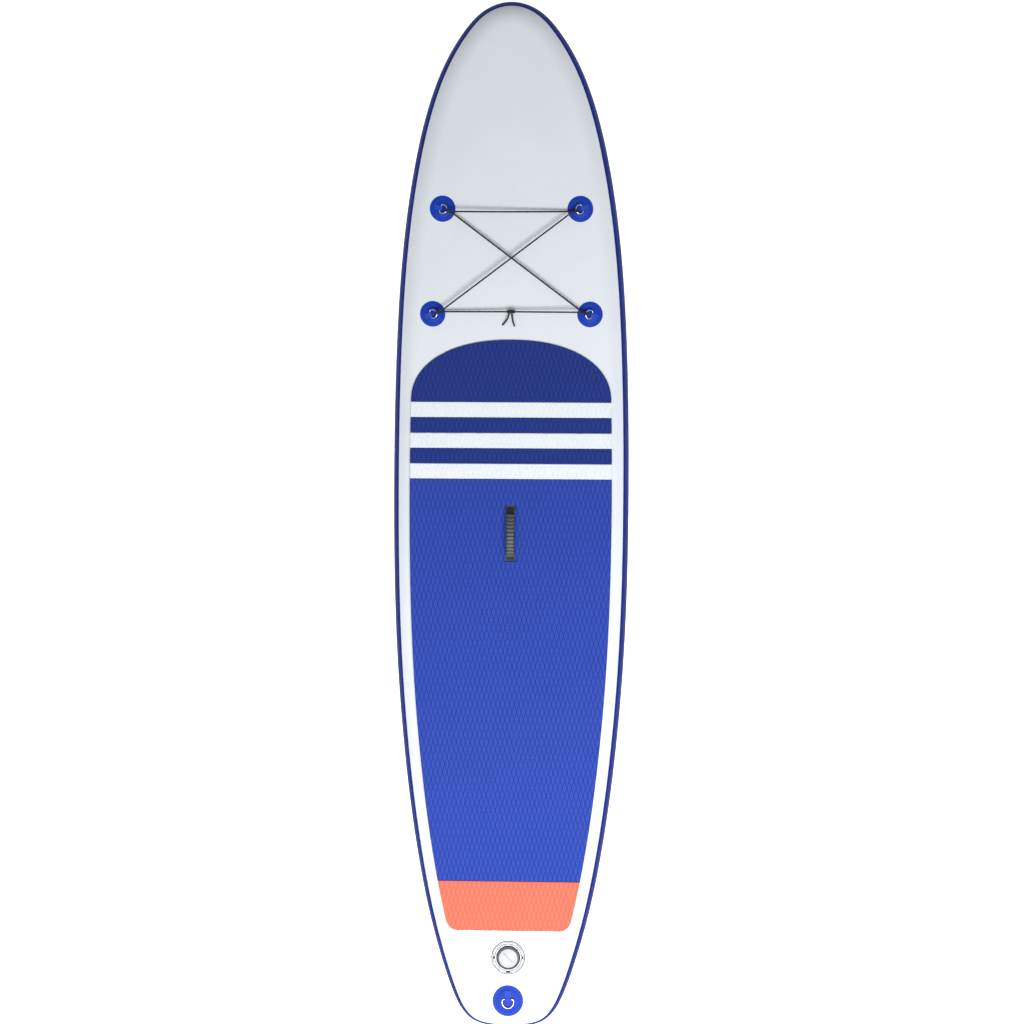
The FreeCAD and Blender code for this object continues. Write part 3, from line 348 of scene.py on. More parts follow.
def board_edge():
    """Points round the board at its widest, nose first, each with its inward direction."""
    half = [np.array((w * HALF_WIDTH, y * HALF_LENGTH)) for y, w in OUTLINE]
    ring = half + [p * (-1, 1) for p in reversed(half[1:-1])]
    count = len(ring)
    gap = [np.linalg.norm(ring[(i + 1) % count] - ring[i]) for i in range(count)]
    fair, pull = np.zeros((count, count)), np.zeros((count, 2))
    for i in range(count):
        before, after, ahead = gap[i - 1], gap[i], (i + 1) % count
        fair[i, i - 1] += 1 / before
        fair[i, i] += 2 / before + 2 / after
        fair[i, ahead] += 1 / after
        pull[i] = 3 * ((ring[i] - ring[i - 1]) / before ** 2 + (ring[ahead] - ring[i]) / after ** 2)
    slope = np.linalg.solve(fair, pull)
    line = []
    for i in range(len(half) - 1):
        reach = gap[i] / 3
        line += geometry.interpolate_bezier(
            Vector(ring[i]).to_3d(), Vector(ring[i] + slope[i] * reach).to_3d(),
            Vector(ring[i + 1] - slope[i + 1] * reach).to_3d(), Vector(ring[i + 1]).to_3d(), 41)[:-1]
    line = np.array([p[:2] for p in line] + [half[-1]])
    run = np.concatenate(([0], np.cumsum(np.linalg.norm(np.diff(line, axis=0), axis=1))))
    share = np.linspace(0, 1, HALF_STATIONS + 1)
    share = share - 0.11 * np.sin(2 * np.pi * share)
    way = np.gradient(line, run, axis=0)
    columns = (line[:, 0], line[:, 1], way[:, 0], way[:, 1])
    at = [np.interp(share * run[-1], run, column) for column in columns]
    right = [(Vector((x, y)), Vector((dy, -dx)).normalized()) for x, y, dx, dy in zip(*at)]
    right[0] = (Vector((0, HALF_LENGTH)), Vector((0, -1)))
    right[-1] = (Vector((0, -HALF_LENGTH)), Vector((0, 1)))
    left = [(Vector((-p.x, p.y)), Vector((-n.x, n.y))) for p, n in reversed(right[1:-1])]
    return right + left


EDGE = board_edge()


def first_ring(bm, spread, height):
    """A ring of edges round the board, in from its widest line and at a height."""
    station = bm.verts.layers.int.new("station")
    bmesh.ops.create_circle(bm, segments=len(EDGE), radius=1)
    bm.verts.ensure_lookup_table()
    for i, v in enumerate(bm.verts):
        v[station] = i
        point, inward = EDGE[i]
        v.co = (*(point + inward * spread), height)
    return bm.edges[:]


def next_ring(bm, edges, spread, height):
    """Extrude a ring of edges to its next place on the board's section."""
    station = bm.verts.layers.int["station"]
    made = bmesh.ops.extrude_edge_only(bm, edges=edges)["geom"]
    fresh = {v for v in made if isinstance(v, bmesh.types.BMVert)}
    for v in fresh:
        point, inward = EDGE[v[station]]
        v.co = (*(point + inward * spread), height)
    return [e for e in made if isinstance(e, bmesh.types.BMEdge) and set(e.verts) <= fresh]


def skin(side):
    """Half of the hull, from the widest line over the rail to the flat, as crosswise strips."""
    bm = bmesh.new()
    ring = first_ring(bm, 0, RAIL)
    for step in range(1, 15):
        angle = math.radians(90 * step / 14)
        ring = next_ring(bm, ring, RAIL * (1 - math.cos(angle)), RAIL + side * RAIL * math.sin(angle))
    flat = bmesh.ops.edgeloop_fill(bm, edges=ring)["faces"]
    station = bm.verts.layers.int["station"]
    rim = {v[station]: v for v in flat[0].verts}
    for i in range(1, HALF_STATIONS):
        bmesh.ops.connect_verts(bm, verts=[rim[i], rim[2 * HALF_STATIONS - i]])
    return bm


def cut_valve_hole(bm):
    """Cut a square out of the deck strips round the valve and close it up to a round hole."""
    reach = 0.04
    near = [f for f in bm.faces if abs(f.normal.z) > 0.99 and f.calc_area() > 0.001
            and max(v.co.y for v in f.verts) > VALVE_Y - reach
            and min(v.co.y for v in f.verts) < VALVE_Y + reach]
    for x in (-reach, reach):
        geom = near + list({e for f in near for e in f.edges}) + list({v for f in near for v in f.verts})
        made = bmesh.ops.bisect_plane(bm, geom=geom, dist=1e-6, plane_co=(x, 0, 0),
                                      plane_no=(1, 0, 0))["geom"]
        near = [f for f in made if isinstance(f, bmesh.types.BMFace)]
    middle = [f for f in near if abs(f.calc_center_median().x) < reach]
    bmesh.ops.delete(bm, geom=middle, context="FACES")
    rim = [e for e in bm.edges if e.is_boundary and abs(e.verts[0].co.x) < reach * 1.1
           and abs(e.verts[0].co.y - VALVE_Y) < 3 * reach and e.verts[0].co.z > THICK - 0.001]
    hole = bmesh.ops.create_circle(bm, segments=32, radius=VALVE_HOLE / 2,
                                   matrix=Matrix.Translation((0, VALVE_Y, THICK)))["verts"]
    ring = list({e for v in hole for e in v.link_edges})
    bmesh.ops.bridge_loops(bm, edges=rim + ring)


def fabric_group():
    """Woven fabric showing through the PVC coat: a fine grid height and slow changes of tone."""
    group = bpy.data.node_groups.new("coated_fabric", "ShaderNodeTree")
    group.interface.new_socket("Threads", in_out="INPUT", socket_type="NodeSocketFloat").default_value = 900.0
    group.interface.new_socket("Height", in_out="OUTPUT", socket_type="NodeSocketFloat")
    group.interface.new_socket("Tone", in_out="OUTPUT", socket_type="NodeSocketFloat")
    start, end = node(group, "NodeGroupInput"), node(group, "NodeGroupOutput")
    coords = node(group, "ShaderNodeTexCoord")
    waves = []
    for direction in ("X", "Y"):
        wave = node(group, "ShaderNodeTexWave", Distortion=0.4, Detail=1.0)
        wave.bands_direction = direction
        group.links.new(coords.outputs["Object"], wave.inputs["Vector"])
        group.links.new(start.outputs["Threads"], wave.inputs["Scale"])
        waves.append(wave.outputs["Fac"])
    grid = node(group, "ShaderNodeMath", operation="MULTIPLY")
    group.links.new(waves[0], grid.inputs[0])
    group.links.new(waves[1], grid.inputs[1])
    group.links.new(grid.outputs[0], end.inputs["Height"])
    cloud = node(group, "ShaderNodeTexNoise", Scale=7.0, Detail=4.0, Roughness=0.6)
    group.links.new(coords.outputs["Object"], cloud.inputs["Vector"])
    group.links.new(cloud.outputs["Fac"], end.inputs["Tone"])
    return group


coated_fabric = fabric_group()


def vinyl_material(name, colour, shade, roughness, coat, shine=0.5):
    """Satin PVC coat over woven fabric, in one colour that drifts a little to its shade."""
    material, tree, shader = new_material(name, roughness)
    shader.inputs["Specular IOR Level"].default_value = shine
    shader.inputs["Coat Weight"].default_value = coat
    shader.inputs["Coat Roughness"].default_value = 0.2
    fabric = node(tree, "ShaderNodeGroup", node_tree=coated_fabric)
    ramp = node(tree, "ShaderNodeMapRange", From_Min=0.35, From_Max=0.75)
    tree.links.new(fabric.outputs["Tone"], ramp.inputs["Value"])
    two_tone(tree, shader, ramp.outputs["Result"], colour, shade)
    drift_gloss(tree, shader, fabric.outputs["Tone"], roughness * 0.9, roughness * 1.15)
    relief(tree, shader, fabric.outputs["Height"], 0.12, 0.0003)
    return material


white_vinyl = vinyl_material("white_vinyl", (0.80, 0.835, 0.885), (0.76, 0.80, 0.86), 0.34, 0.1)
deck = skin(1)
cut_valve_hole(deck)
bottom = skin(-1)
for name, bm, cad in (("deck_sheet", deck, "deck_skin"), ("bottom_sheet", bottom, "hull_skin")):
    bend_to_board(bm)
    bmesh.ops.recalc_face_normals(bm, faces=bm.faces[:])
    if (max(bm.faces, key=lambda f: f.calc_area()).normal.z > 0) != (cad == "deck_skin"):
        bmesh.ops.reverse_faces(bm, faces=bm.faces[:])
    sheet = make_piece(name, bm, white_vinyl, "board", [cad])
    wall = sheet.modifiers.new("wall", "SOLIDIFY")
    wall.thickness, wall.offset = SKIN_THICK, -1


# ---------------------------------------------------------------- rail band
# A wide band of dark blue PVC glued round the rail over the weld of the two skins. It is a
# millimetre thick with a thin lip at its upper and lower edge.

BAND_HALF, BAND_THICK, BAND_SINK = 0.050, 0.001, 0.0004

bm = bmesh.new()
lip = math.asin(BAND_HALF / RAIL)
radii = [(lip, RAIL - BAND_SINK), (lip, RAIL + BAND_THICK * 0.6), (lip - 0.008, RAIL + BAND_THICK)]
section = radii + [(lip * (1 - step / 9), RAIL + BAND_THICK) for step in range(1, 18)]
section += [(-a, r) for a, r in reversed(radii)]
ring = first = None
for angle, radius in section:
    spread, height = RAIL - radius * math.cos(angle), RAIL + radius * math.sin(angle)
    if ring is None:
        ring = first = first_ring(bm, spread, height)
    else:
        ring = next_ring(bm, ring, spread, height)
for angle in (-lip * 0.5, 0, lip * 0.5):
    inner = RAIL - BAND_SINK
    ring = next_ring(bm, ring, RAIL - inner * math.cos(angle), RAIL + inner * math.sin(angle))
bmesh.ops.bridge_loops(bm, edges=ring + first)
bend_to_board(bm)
bmesh.ops.recalc_face_normals(bm, faces=bm.faces[:])
rail_vinyl = vinyl_material("rail_vinyl", (0.006, 0.020, 0.215), (0.004, 0.016, 0.180), 0.50, 0.0, 0.06)
make_piece("rail_wrap", bm, rail_vinyl, "board", ["rail_band"])


# ---------------------------------------------------------------- deck pads
# EVA foam sheets, 5 mm, glued to the deck with millimetre gaps between them. Their tops are
# milled with crossed V grooves that leave long diamonds 15 by 50 mm.

PAD_THICK, PAD_INSET, PAD_GAP = 0.005, 0.057, 0.0012
DIAMOND_WIDE, DIAMOND_LONG = 0.015, 0.050
GROOVE_HALF, GROOVE_DEEP = 0.0013, 0.0012
DOME_TIP, DOME_BASE, DOME_POWER = 0.620, 0.425, 2.2
STRIPE = 0.049
MAIN_FRONT = DOME_BASE - 5 * STRIPE
MAIN_REAR, PAD_TAIL = -1.137, -1.301
TAIL_CORNER = 0.040
HANDLE_Y, HANDLE_SPAN = 0.0045, 0.165
SLOT_WIDE, SLOT_LONG = 0.033, 0.014


def everything(bm):
    return bm.verts[:] + bm.edges[:] + bm.faces[:]


def pad_sheet(front, rear):
    """The plan of a pad between two stations, cut to the rail inset."""
    bm = bmesh.new()
    bmesh.ops.edgeloop_fill(bm, edges=first_ring(bm, PAD_INSET, THICK + PAD_THICK - GROOVE_DEEP))
    for y, way in ((front, 1), (rear, -1)):
        bmesh.ops.bisect_plane(bm, geom=everything(bm), dist=1e-6, plane_co=(0, y, 0), plane_no=(0, way, 0),
                               clear_outer=True)
    return bm


def dome_sheet(reach):
    """The plan of the front pad: a flat base and a crown between a circle and a square."""
    bm = bmesh.new()
    plan = bmesh.ops.create_circle(bm, cap_ends=True, segments=96, radius=1)["verts"]
    for v in plan:
        x, y = (math.copysign(abs(c) ** (2 / DOME_POWER), c) for c in v.co.xy)
        v.co = (x * reach, DOME_BASE + y * (DOME_TIP - DOME_BASE), THICK + PAD_THICK - GROOVE_DEEP)
    bmesh.ops.bisect_plane(bm, geom=everything(bm), dist=1e-6, plane_co=(0, DOME_BASE, 0), plane_no=(0, 1, 0),
                           clear_inner=True)
    return bm


def mill_diamonds(bm):
    """Cut the crossed lines and the handle's slots, drop the sides, and sink the grooves."""
    bmesh.ops.recalc_face_normals(bm, faces=bm.faces[:])
    if bm.faces[:][0].normal.z < 0:
        bmesh.ops.reverse_faces(bm, faces=bm.faces[:])
    slope = DIAMOND_WIDE / DIAMOND_LONG
    for lean in (-slope, slope):
        ends = [v.co.x + lean * v.co.y for v in bm.verts]
        for k in range(math.ceil(min(ends) / DIAMOND_WIDE), math.floor(max(ends) / DIAMOND_WIDE) + 1):
            bmesh.ops.bisect_plane(bm, geom=everything(bm), dist=1e-5, plane_co=(k * DIAMOND_WIDE, 0, 0),
                                   plane_no=(1, lean, 0))
    bmesh.ops.remove_doubles(bm, verts=bm.verts[:], dist=0.0012)
    for end in (-1, 1):
        middle = HANDLE_Y + end * HANDLE_SPAN / 2
        low, high = middle - SLOT_LONG / 2, middle + SLOT_LONG / 2
        for place, way in (((0, low, 0), (0, 1, 0)), ((0, high, 0), (0, 1, 0)),
                           ((-SLOT_WIDE / 2, 0, 0), (1, 0, 0)), ((SLOT_WIDE / 2, 0, 0), (1, 0, 0))):
            near = [f for f in bm.faces if abs(f.calc_center_median().x) < 0.04
                    and abs(f.calc_center_median().y - middle) < 0.05]
            geom = near + list({e for f in near for e in f.edges}) + list({v for f in near for v in f.verts})
            bmesh.ops.bisect_plane(bm, geom=geom, dist=1e-5, plane_co=place, plane_no=way)
        inside = [f for f in bm.faces if abs(f.calc_center_median().x) < SLOT_WIDE / 2
                  and low < f.calc_center_median().y < high]
        bmesh.ops.delete(bm, geom=inside, context="FACES")
        spare = [e for e in bm.edges if not e.is_boundary and abs(e.verts[0].co.y - middle) < 0.1
                 and min(abs(e.verts[0].co.x - e.verts[1].co.x),
                         abs(e.verts[0].co.y - e.verts[1].co.y)) < 1e-5]
        bmesh.ops.dissolve_edges(bm, edges=spare, use_verts=False)
    # Painted shade mark: 1 on the verts of the grooves, the narrow slivers and the sides, which the foam
    # colours darker; the diamond tops are set to 0.
    groove_shade = bm.verts.layers.float.new("groove_shade")
    for v in bm.verts:
        v[groove_shade] = 1.0
    tops = bm.faces[:]
    made = bmesh.ops.extrude_edge_only(bm, edges=[e for e in bm.edges if e.is_boundary])["geom"]
    foot = {v for v in made if isinstance(v, bmesh.types.BMVert)}
    for v in foot:
        v.co.z = THICK
    bmesh.ops.triangle_fill(bm, edges=[e for e in made if isinstance(e, bmesh.types.BMEdge)
                                       and set(e.verts) <= foot])
    wide = [f for f in tops if 2 * f.calc_area() / f.calc_perimeter() > 1.25 * GROOVE_HALF]
    bmesh.ops.inset_individual(bm, faces=wide, thickness=GROOVE_HALF, depth=GROOVE_DEEP, use_even_offset=True)
    for f in wide:
        for v in f.verts:
            v[groove_shade] = 0.0
    bend_to_board(bm)


def foam_material(name, top, low):
    """Closed-cell foam: a fine skin of pores, brushed tops, and painted shade that darkens the milled grooves
    and the sides.
    """
    material, tree, shader = new_material(name, 0.78)
    shader.inputs["Specular IOR Level"].default_value = 0.2
    coords = node(tree, "ShaderNodeTexCoord")
    groove_shade = node(tree, "ShaderNodeAttribute", attribute_name="groove_shade")
    patchy = node(tree, "ShaderNodeTexNoise", Scale=11.0, Detail=5.0)
    pores = node(tree, "ShaderNodeTexNoise", Scale=1300.0, Detail=2.0)
    for texture in (patchy, pores):
        tree.links.new(coords.outputs["Object"], texture.inputs["Vector"])
    wear = node(tree, "ShaderNodeMapRange", From_Min=0.3, From_Max=0.7, To_Min=-0.10, To_Max=0.10)
    tree.links.new(patchy.outputs["Fac"], wear.inputs["Value"])
    speck = node(tree, "ShaderNodeMapRange", From_Min=0.3, From_Max=0.7, To_Min=-0.08, To_Max=0.08)
    tree.links.new(pores.outputs["Fac"], speck.inputs["Value"])
    both = node(tree, "ShaderNodeMath", operation="ADD")
    tree.links.new(wear.outputs["Result"], both.inputs[0])
    tree.links.new(speck.outputs["Result"], both.inputs[1])
    # The painted shade mark plus random patches and pores of tone.
    level = node(tree, "ShaderNodeMath", operation="ADD", use_clamp=True)
    tree.links.new(groove_shade.outputs["Fac"], level.inputs[0])
    tree.links.new(both.outputs[0], level.inputs[1])
    two_tone(tree, shader, level.outputs[0], top, low)
    relief(tree, shader, pores.outputs["Fac"], 0.35, 0.0003)
    return material


# Each foam's second colour is the painted shade in its grooves and on its sides.
blue_foam = foam_material("blue_foam", (0.028, 0.064, 0.390), (0.017, 0.043, 0.290))
deep_foam = foam_material("deep_foam", (0.015, 0.037, 0.230), (0.012, 0.031, 0.195))
white_foam = foam_material("white_foam", (0.80, 0.84, 0.88), (0.79, 0.83, 0.87))
coral_foam = foam_material("coral_foam", (0.900, 0.175, 0.115), (0.840, 0.155, 0.098))

dome_reach = float(np.interp(-DOME_BASE, [-p.y for p, inward in EDGE[:HALF_STATIONS]],
                             [p.x for p, inward in EDGE[:HALF_STATIONS]])) - PAD_INSET
tail = pad_sheet(MAIN_REAR - PAD_GAP, PAD_TAIL)
side = max((v.co for v in tail.verts if v.co.y > PAD_TAIL + TAIL_CORNER), key=lambda p: -p.y).copy()
corner = max((v.co for v in tail.verts if v.co.y < PAD_TAIL + 1e-5), key=lambda p: p.x).copy()
lean = math.atan2(side.x - corner.x, side.y - corner.y)
inset = TAIL_CORNER * math.tan((math.pi / 2 - lean) / 2)
for way in (1, -1):
    for step in range(1, 12):
        turn = math.radians(-90) + (math.radians(90) - lean) * step / 12
        facing = Vector((way * math.cos(turn), math.sin(turn), 0))
        middle = Vector((way * (corner.x - inset), PAD_TAIL + TAIL_CORNER, 0))
        bmesh.ops.bisect_plane(tail, geom=everything(tail), dist=1e-6, plane_co=middle + facing * TAIL_CORNER,
                               plane_no=facing, clear_outer=True)
PADS = {
    "dome_pad": (dome_sheet(dome_reach), deep_foam, "blue_foam"),
    "white_stripe_front": (None, white_foam, "white_foam"),
    "blue_stripe_front": (None, deep_foam, "blue_foam"),
    "white_stripe_middle": (None, white_foam, "white_foam"),
    "blue_stripe_rear": (None, deep_foam, "blue_foam"),
    "white_stripe_rear": (None, white_foam, "white_foam"),
    "main_pad": (pad_sheet(MAIN_FRONT - PAD_GAP, MAIN_REAR), blue_foam, "blue_foam"),
    "tail_pad": (tail, coral_foam, "coral_foam"),
}
stripe_front = DOME_BASE
for name, (plan, foam, slot) in PADS.items():
    if plan is None:
        plan = pad_sheet(stripe_front - PAD_GAP, stripe_front - STRIPE)
        stripe_front -= STRIPE
    mill_diamonds(plan)
    pad = make_piece(name + "_foam", plan, foam, "board", [name], 20)


# ---------------------------------------------------------------- ring and leash patches
# Round moulded PVC patches glued to the deck, each a thin rim under a thicker raised disc
# with a soft edge. A webbing tab on the disc is folded round the bar of a steel D ring.


def turned(profile, steps=72):
    """A bmesh turned about Z from a profile of radius and height."""
    bm = bmesh.new()
    line = [bm.verts.new((r, 0, z)) for r, z in profile]
    edges = [bm.edges.new(pair) for pair in zip(line, line[1:])]
    bmesh.ops.spin(bm, geom=line + edges, cent=(0, 0, 0), axis=(0, 0, 1), angle=2 * math.pi, steps=steps,
                   use_merge=True)
    bmesh.ops.remove_doubles(bm, verts=bm.verts[:], dist=1e-6)
    bmesh.ops.recalc_face_normals(bm, faces=bm.faces[:])
    return bm


def patch_profile(rim, cover):
    """Section of a patch: thin rim, rounded step, raised disc with a shallow pressed ring."""
    return [(0, 0), (rim, 0), (rim, 0.0007), (rim - 0.0005, 0.0012), (cover + 0.0009, 0.0012),
            (cover + 0.0003, 0.00135), (cover, 0.0017), (cover - 0.0006, 0.00195), (cover - 0.0015, 0.0020),
            (cover - 0.0034, 0.0020), (cover - 0.0040, 0.00175), (cover - 0.0046, 0.0020), (0, 0.0020)]


def webbing_material(name, colour, low=0.45):
    """Woven webbing: ribs along the strap crossed by a finer weft, matt, with painted shade between the
    threads at low times the colour.
    """
    material, tree, shader = new_material(name, 0.7)
    shader.inputs["Sheen Weight"].default_value = 0.25
    coords = node(tree, "ShaderNodeTexCoord")
    waves = []
    for direction, scale in (("X", 330.0), ("Y", 520.0)):
        wave = node(tree, "ShaderNodeTexWave", Scale=scale, Distortion=0.5, Detail=1.0)
        wave.bands_direction = direction
        tree.links.new(coords.outputs["Object"], wave.inputs["Vector"])
        waves.append(wave.outputs["Fac"])
    weave = node(tree, "ShaderNodeMath", operation="MULTIPLY")
    tree.links.new(waves[0], weave.inputs[0])
    tree.links.new(waves[1], weave.inputs[1])
    # Painted shade: where the weave sinks between the threads, the colour falls to low times itself.
    two_tone(tree, shader, weave.outputs[0], [c * low for c in colour], colour)
    relief(tree, shader, weave.outputs[0], 0.6, 0.0004)
    return material


TAB_THICK = 0.0012


def folded_tab(wide, long, bar_height, wire, thick=TAB_THICK):
    """A strap that runs under the ring's bar, round it, and back on top of itself."""
    bm = bmesh.new()
    turn = wire / 2 + 0.00035 + thick / 2
    low = bar_height - turn
    back = -RING_SETBACK - long
    ends = [bm.verts.new((side * (wide / 2), back, low)) for side in (-1, 1)]
    edge = bm.edges.new(ends)

    def carry(edge, y, z):
        made = bmesh.ops.extrude_edge_only(bm, edges=[edge])["geom"]
        fresh = {v for v in made if isinstance(v, bmesh.types.BMVert)}
        for v in fresh:
            v.co.y, v.co.z = y, z
        return next(e for e in made if isinstance(e, bmesh.types.BMEdge) and set(e.verts) == fresh)

    for y in (back + long * 0.5, -RING_SETBACK):
        edge = carry(edge, y, low)
    for step in range(1, 13):
        angle = math.radians(-90 + 215 * step / 12)
        edge = carry(edge, -RING_SETBACK + turn * math.cos(angle), bar_height + turn * math.sin(angle))
    for share, height in ((0.22, 2.6), (0.34, 1.5), (0.46, 1.08), (0.75, 1.02), (1.0, 1.02)):
        edge = carry(edge, -RING_SETBACK - long * share, low + thick * height)
    bmesh.ops.recalc_face_normals(bm, faces=bm.faces[:])
    bmesh.ops.solidify(bm, geom=bm.faces[:], thickness=thick * 0.96)
    return bm


def stitch_rows(spots, long=0.0022, thick=0.00055):
    """Short stitches of bonded thread, half sunk in the strap."""
    bm = bmesh.new()
    for x, y, z, turn in spots:
        place = Matrix.Translation((x, y, z)) @ Matrix.Rotation(math.radians(turn), 4, "Z")
        size = Matrix.Diagonal((long, thick, thick, 1))
        made = bmesh.ops.create_cube(bm, size=1, matrix=place @ size)["verts"]
        edges = list({e for v in made for e in v.link_edges})
        bmesh.ops.bevel(bm, geom=edges, affect="EDGES", offset=thick * 0.3, segments=1, profile=0.5,
                        material=-1)
    return bm


def metal_material(name, roughness, dull=(0.56, 0.57, 0.59), bright=(0.72, 0.73, 0.74)):
    """Polished metal, stainless steel unless told, with fine draw lines and faint smudges."""
    material, tree, shader = new_material(name, roughness, 1.0)
    coords = node(tree, "ShaderNodeTexCoord")
    smudge = node(tree, "ShaderNodeTexNoise", Scale=160.0, Detail=4.0)
    lines = node(tree, "ShaderNodeTexNoise", Scale=2600.0, Detail=1.0)
    for texture in (smudge, lines):
        tree.links.new(coords.outputs["Object"], texture.inputs["Vector"])
    two_tone(tree, shader, smudge.outputs["Fac"], dull, bright)
    drift_gloss(tree, shader, smudge.outputs["Fac"], roughness * 0.6, roughness * 1.6)
    relief(tree, shader, lines.outputs["Fac"], 0.05, 0.0001)
    return material


def finish_node(name, material):
    """Give a CAD node that keeps its shape its finish."""
    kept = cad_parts[name]
    kept.data.materials.clear()
    kept.data.materials.append(material)


patch_vinyl = vinyl_material("patch_vinyl", (0.007, 0.048, 0.460), (0.005, 0.038, 0.390), 0.40, 0.0, 0.14)
# The last number sets how dark the painted shade between the webbing's threads is.
tab_webbing = webbing_material("tab_webbing", (0.016, 0.080, 0.700), 0.7)
tab_thread = braid_material("tab_thread", (0.020, 0.090, 0.640))
ring_steel = metal_material("ring_steel", 0.22)

LEASH_SPOT = on_board(0, -1.529, THICK, RING_LIFT, 180)
LEASH_BAR = 0.00605
GROUPS = [(name, spot, "ring_" + name, 0.040, 0.0315, 0.015, 0.020, BAR_HEIGHT, 0.004)
          for name, spot in RING_SPOTS.items()]
GROUPS.append(("leash", LEASH_SPOT, "leash_ring", 0.050, 0.039, 0.022, 0.027, LEASH_BAR, 0.005))
for name, spot, ring_body, rim, cover, wide, long, bar, wire in GROUPS:
    patch_node = "leash_patch" if name == "leash" else "ring_patch_" + name
    tab_node = "leash_tab" if name == "leash" else "ring_tab_" + name
    ring_node = "leash_ring" if name == "leash" else "d_ring_" + name
    disc = turned(patch_profile(rim, cover))
    bmesh.ops.transform(disc, matrix=spot, verts=disc.verts[:])
    make_piece(patch_node + "_disc", disc, patch_vinyl, "board", [patch_node])
    tab = folded_tab(wide, long, bar, wire)
    bmesh.ops.transform(tab, matrix=spot, verts=tab.verts[:])
    make_piece(tab_node + "_strap", tab, tab_webbing, "board", [tab_node], 50)
    back, top = -RING_SETBACK - long, 0.0020 + 2 * TAB_THICK + 0.0001
    foot = back + 0.0016
    box_wide, box_long = wide * 0.72, long * 0.42
    spots = []
    for k in range(6):
        share = (k + 0.5) / 6 - 0.5
        spots += [(share * box_wide, foot, top, 0), (share * box_wide, foot + box_long, top, 0)]
    for k in range(4):
        share = (k + 0.5) / 4
        spots += [(side * box_wide / 2, foot + share * box_long, top, 90) for side in (-1, 1)]
        lean = math.degrees(math.atan2(box_long, box_wide))
        spots += [((share - 0.5) * box_wide, foot + share * box_long, top, lean),
                  ((0.5 - share) * box_wide, foot + share * box_long, top, -lean)]
    stitches = stitch_rows(spots)
    bmesh.ops.transform(stitches, matrix=spot, verts=stitches.verts[:])
    make_piece(tab_node + "_stitches", stitches, tab_thread, "board")
    finish_node(ring_node, ring_steel)


# ---------------------------------------------------------------- carry handle
# A strap of black webbing arched out of two slots in the main pad, with its ends stitched to
# patches under the foam, and a ribbed rubber grip moulded round the middle of it.

HANDLE_RISE = 0.034
STRAP_WIDE, STRAP_THICK = 0.025, 0.0024
ARCH = ((HANDLE_SPAN / 2) ** 2 + (HANDLE_RISE - 0.0025) ** 2) / (2 * (HANDLE_RISE - 0.0025))
ARCH_Z = THICK + HANDLE_RISE - ARCH
GRIP_LONG, GRIP_WIDE, GRIP_WAIST, GRIP_THICK = 0.138, 0.0295, 0.0255, 0.015
GRIP_RIBS, RIB_DEEP, GROOVE_WIDE = 11, 0.0014, 0.0030
GRIP_SETBACK = 0.005

# Black webbing with the default painted shade between its threads.
black_webbing = webbing_material("black_webbing", (0.020, 0.020, 0.023))


def on_arch(v):
    """Bend a straight lay-up, whose Z is measured from the strap's middle, round the arch."""
    turn, radius = v.co.y / ARCH, ARCH + v.co.z
    v.co.y = HANDLE_Y + radius * math.sin(turn)
    v.co.z = ARCH_Z + radius * math.cos(turn)


bm = bmesh.new()
foot_turn = math.acos((THICK + 0.0012 - ARCH_Z) / ARCH)
half_run = foot_turn * ARCH
profile = bmesh.ops.create_circle(bm, segments=20, radius=1)["verts"]
for v in profile:
    x, z = (math.copysign(abs(c) ** 0.35, c) for c in v.co.xy)
    v.co = (x * STRAP_WIDE / 2, -half_run, z * STRAP_THICK / 2)
ring = bm.edges[:]
bmesh.ops.edgeloop_fill(bm, edges=ring)
for step in range(1, 61):
    made = bmesh.ops.extrude_edge_only(bm, edges=ring)["geom"]
    fresh = {v for v in made if isinstance(v, bmesh.types.BMVert)}
    for v in fresh:
        v.co.y = half_run * (step / 30 - 1)
    ring = [e for e in made if isinstance(e, bmesh.types.BMEdge) and set(e.verts) <= fresh]
bmesh.ops.edgeloop_fill(bm, edges=ring)
for v in bm.verts:
    along = min(1.0, abs(2 * (v.co.y + GRIP_SETBACK) / GRIP_LONG))
    v.co.x *= 1 - (GRIP_WIDE - GRIP_WAIST) / STRAP_WIDE * (1 - along ** 2)
    on_arch(v)
bmesh.ops.recalc_face_normals(bm, faces=bm.faces[:])
strap = make_piece("handle_strap", bm, black_webbing, None, [])
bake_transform(strap, "board", "handle", start=(0, HANDLE_Y, THICK + 0.003), end=(0, HANDLE_Y, THICK + 0.024))
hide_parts("handle_webbing")


def rubber_material(name, colour, low, roughness=0.55):
    """Soft moulded rubber: fine grain, a slow drift of tone, and painted shade that darkens the grooves
    towards the low colour, leaving the ribs paler.
    """
    material, tree, shader = new_material(name, roughness)
    coords = node(tree, "ShaderNodeTexCoord")
    groove_shade = node(tree, "ShaderNodeAttribute", attribute_name="groove_shade")
    grain = node(tree, "ShaderNodeTexNoise", Scale=900.0, Detail=3.0)
    patchy = node(tree, "ShaderNodeTexNoise", Scale=60.0, Detail=4.0)
    for texture in (grain, patchy):
        tree.links.new(coords.outputs["Object"], texture.inputs["Vector"])
    drift = node(tree, "ShaderNodeMapRange", From_Min=0.3, From_Max=0.7, To_Min=-0.15, To_Max=0.15)
    tree.links.new(patchy.outputs["Fac"], drift.inputs["Value"])
    level = node(tree, "ShaderNodeMath", operation="ADD", use_clamp=True)
    tree.links.new(groove_shade.outputs["Fac"], level.inputs[0])
    tree.links.new(drift.outputs["Result"], level.inputs[1])
    # Painted shade: the groove depth mark darkens the colour towards low.
    two_tone(tree, shader, level.outputs[0], colour, low)
    relief(tree, shader, grain.outputs["Fac"], 0.3, 0.0002)
    return material


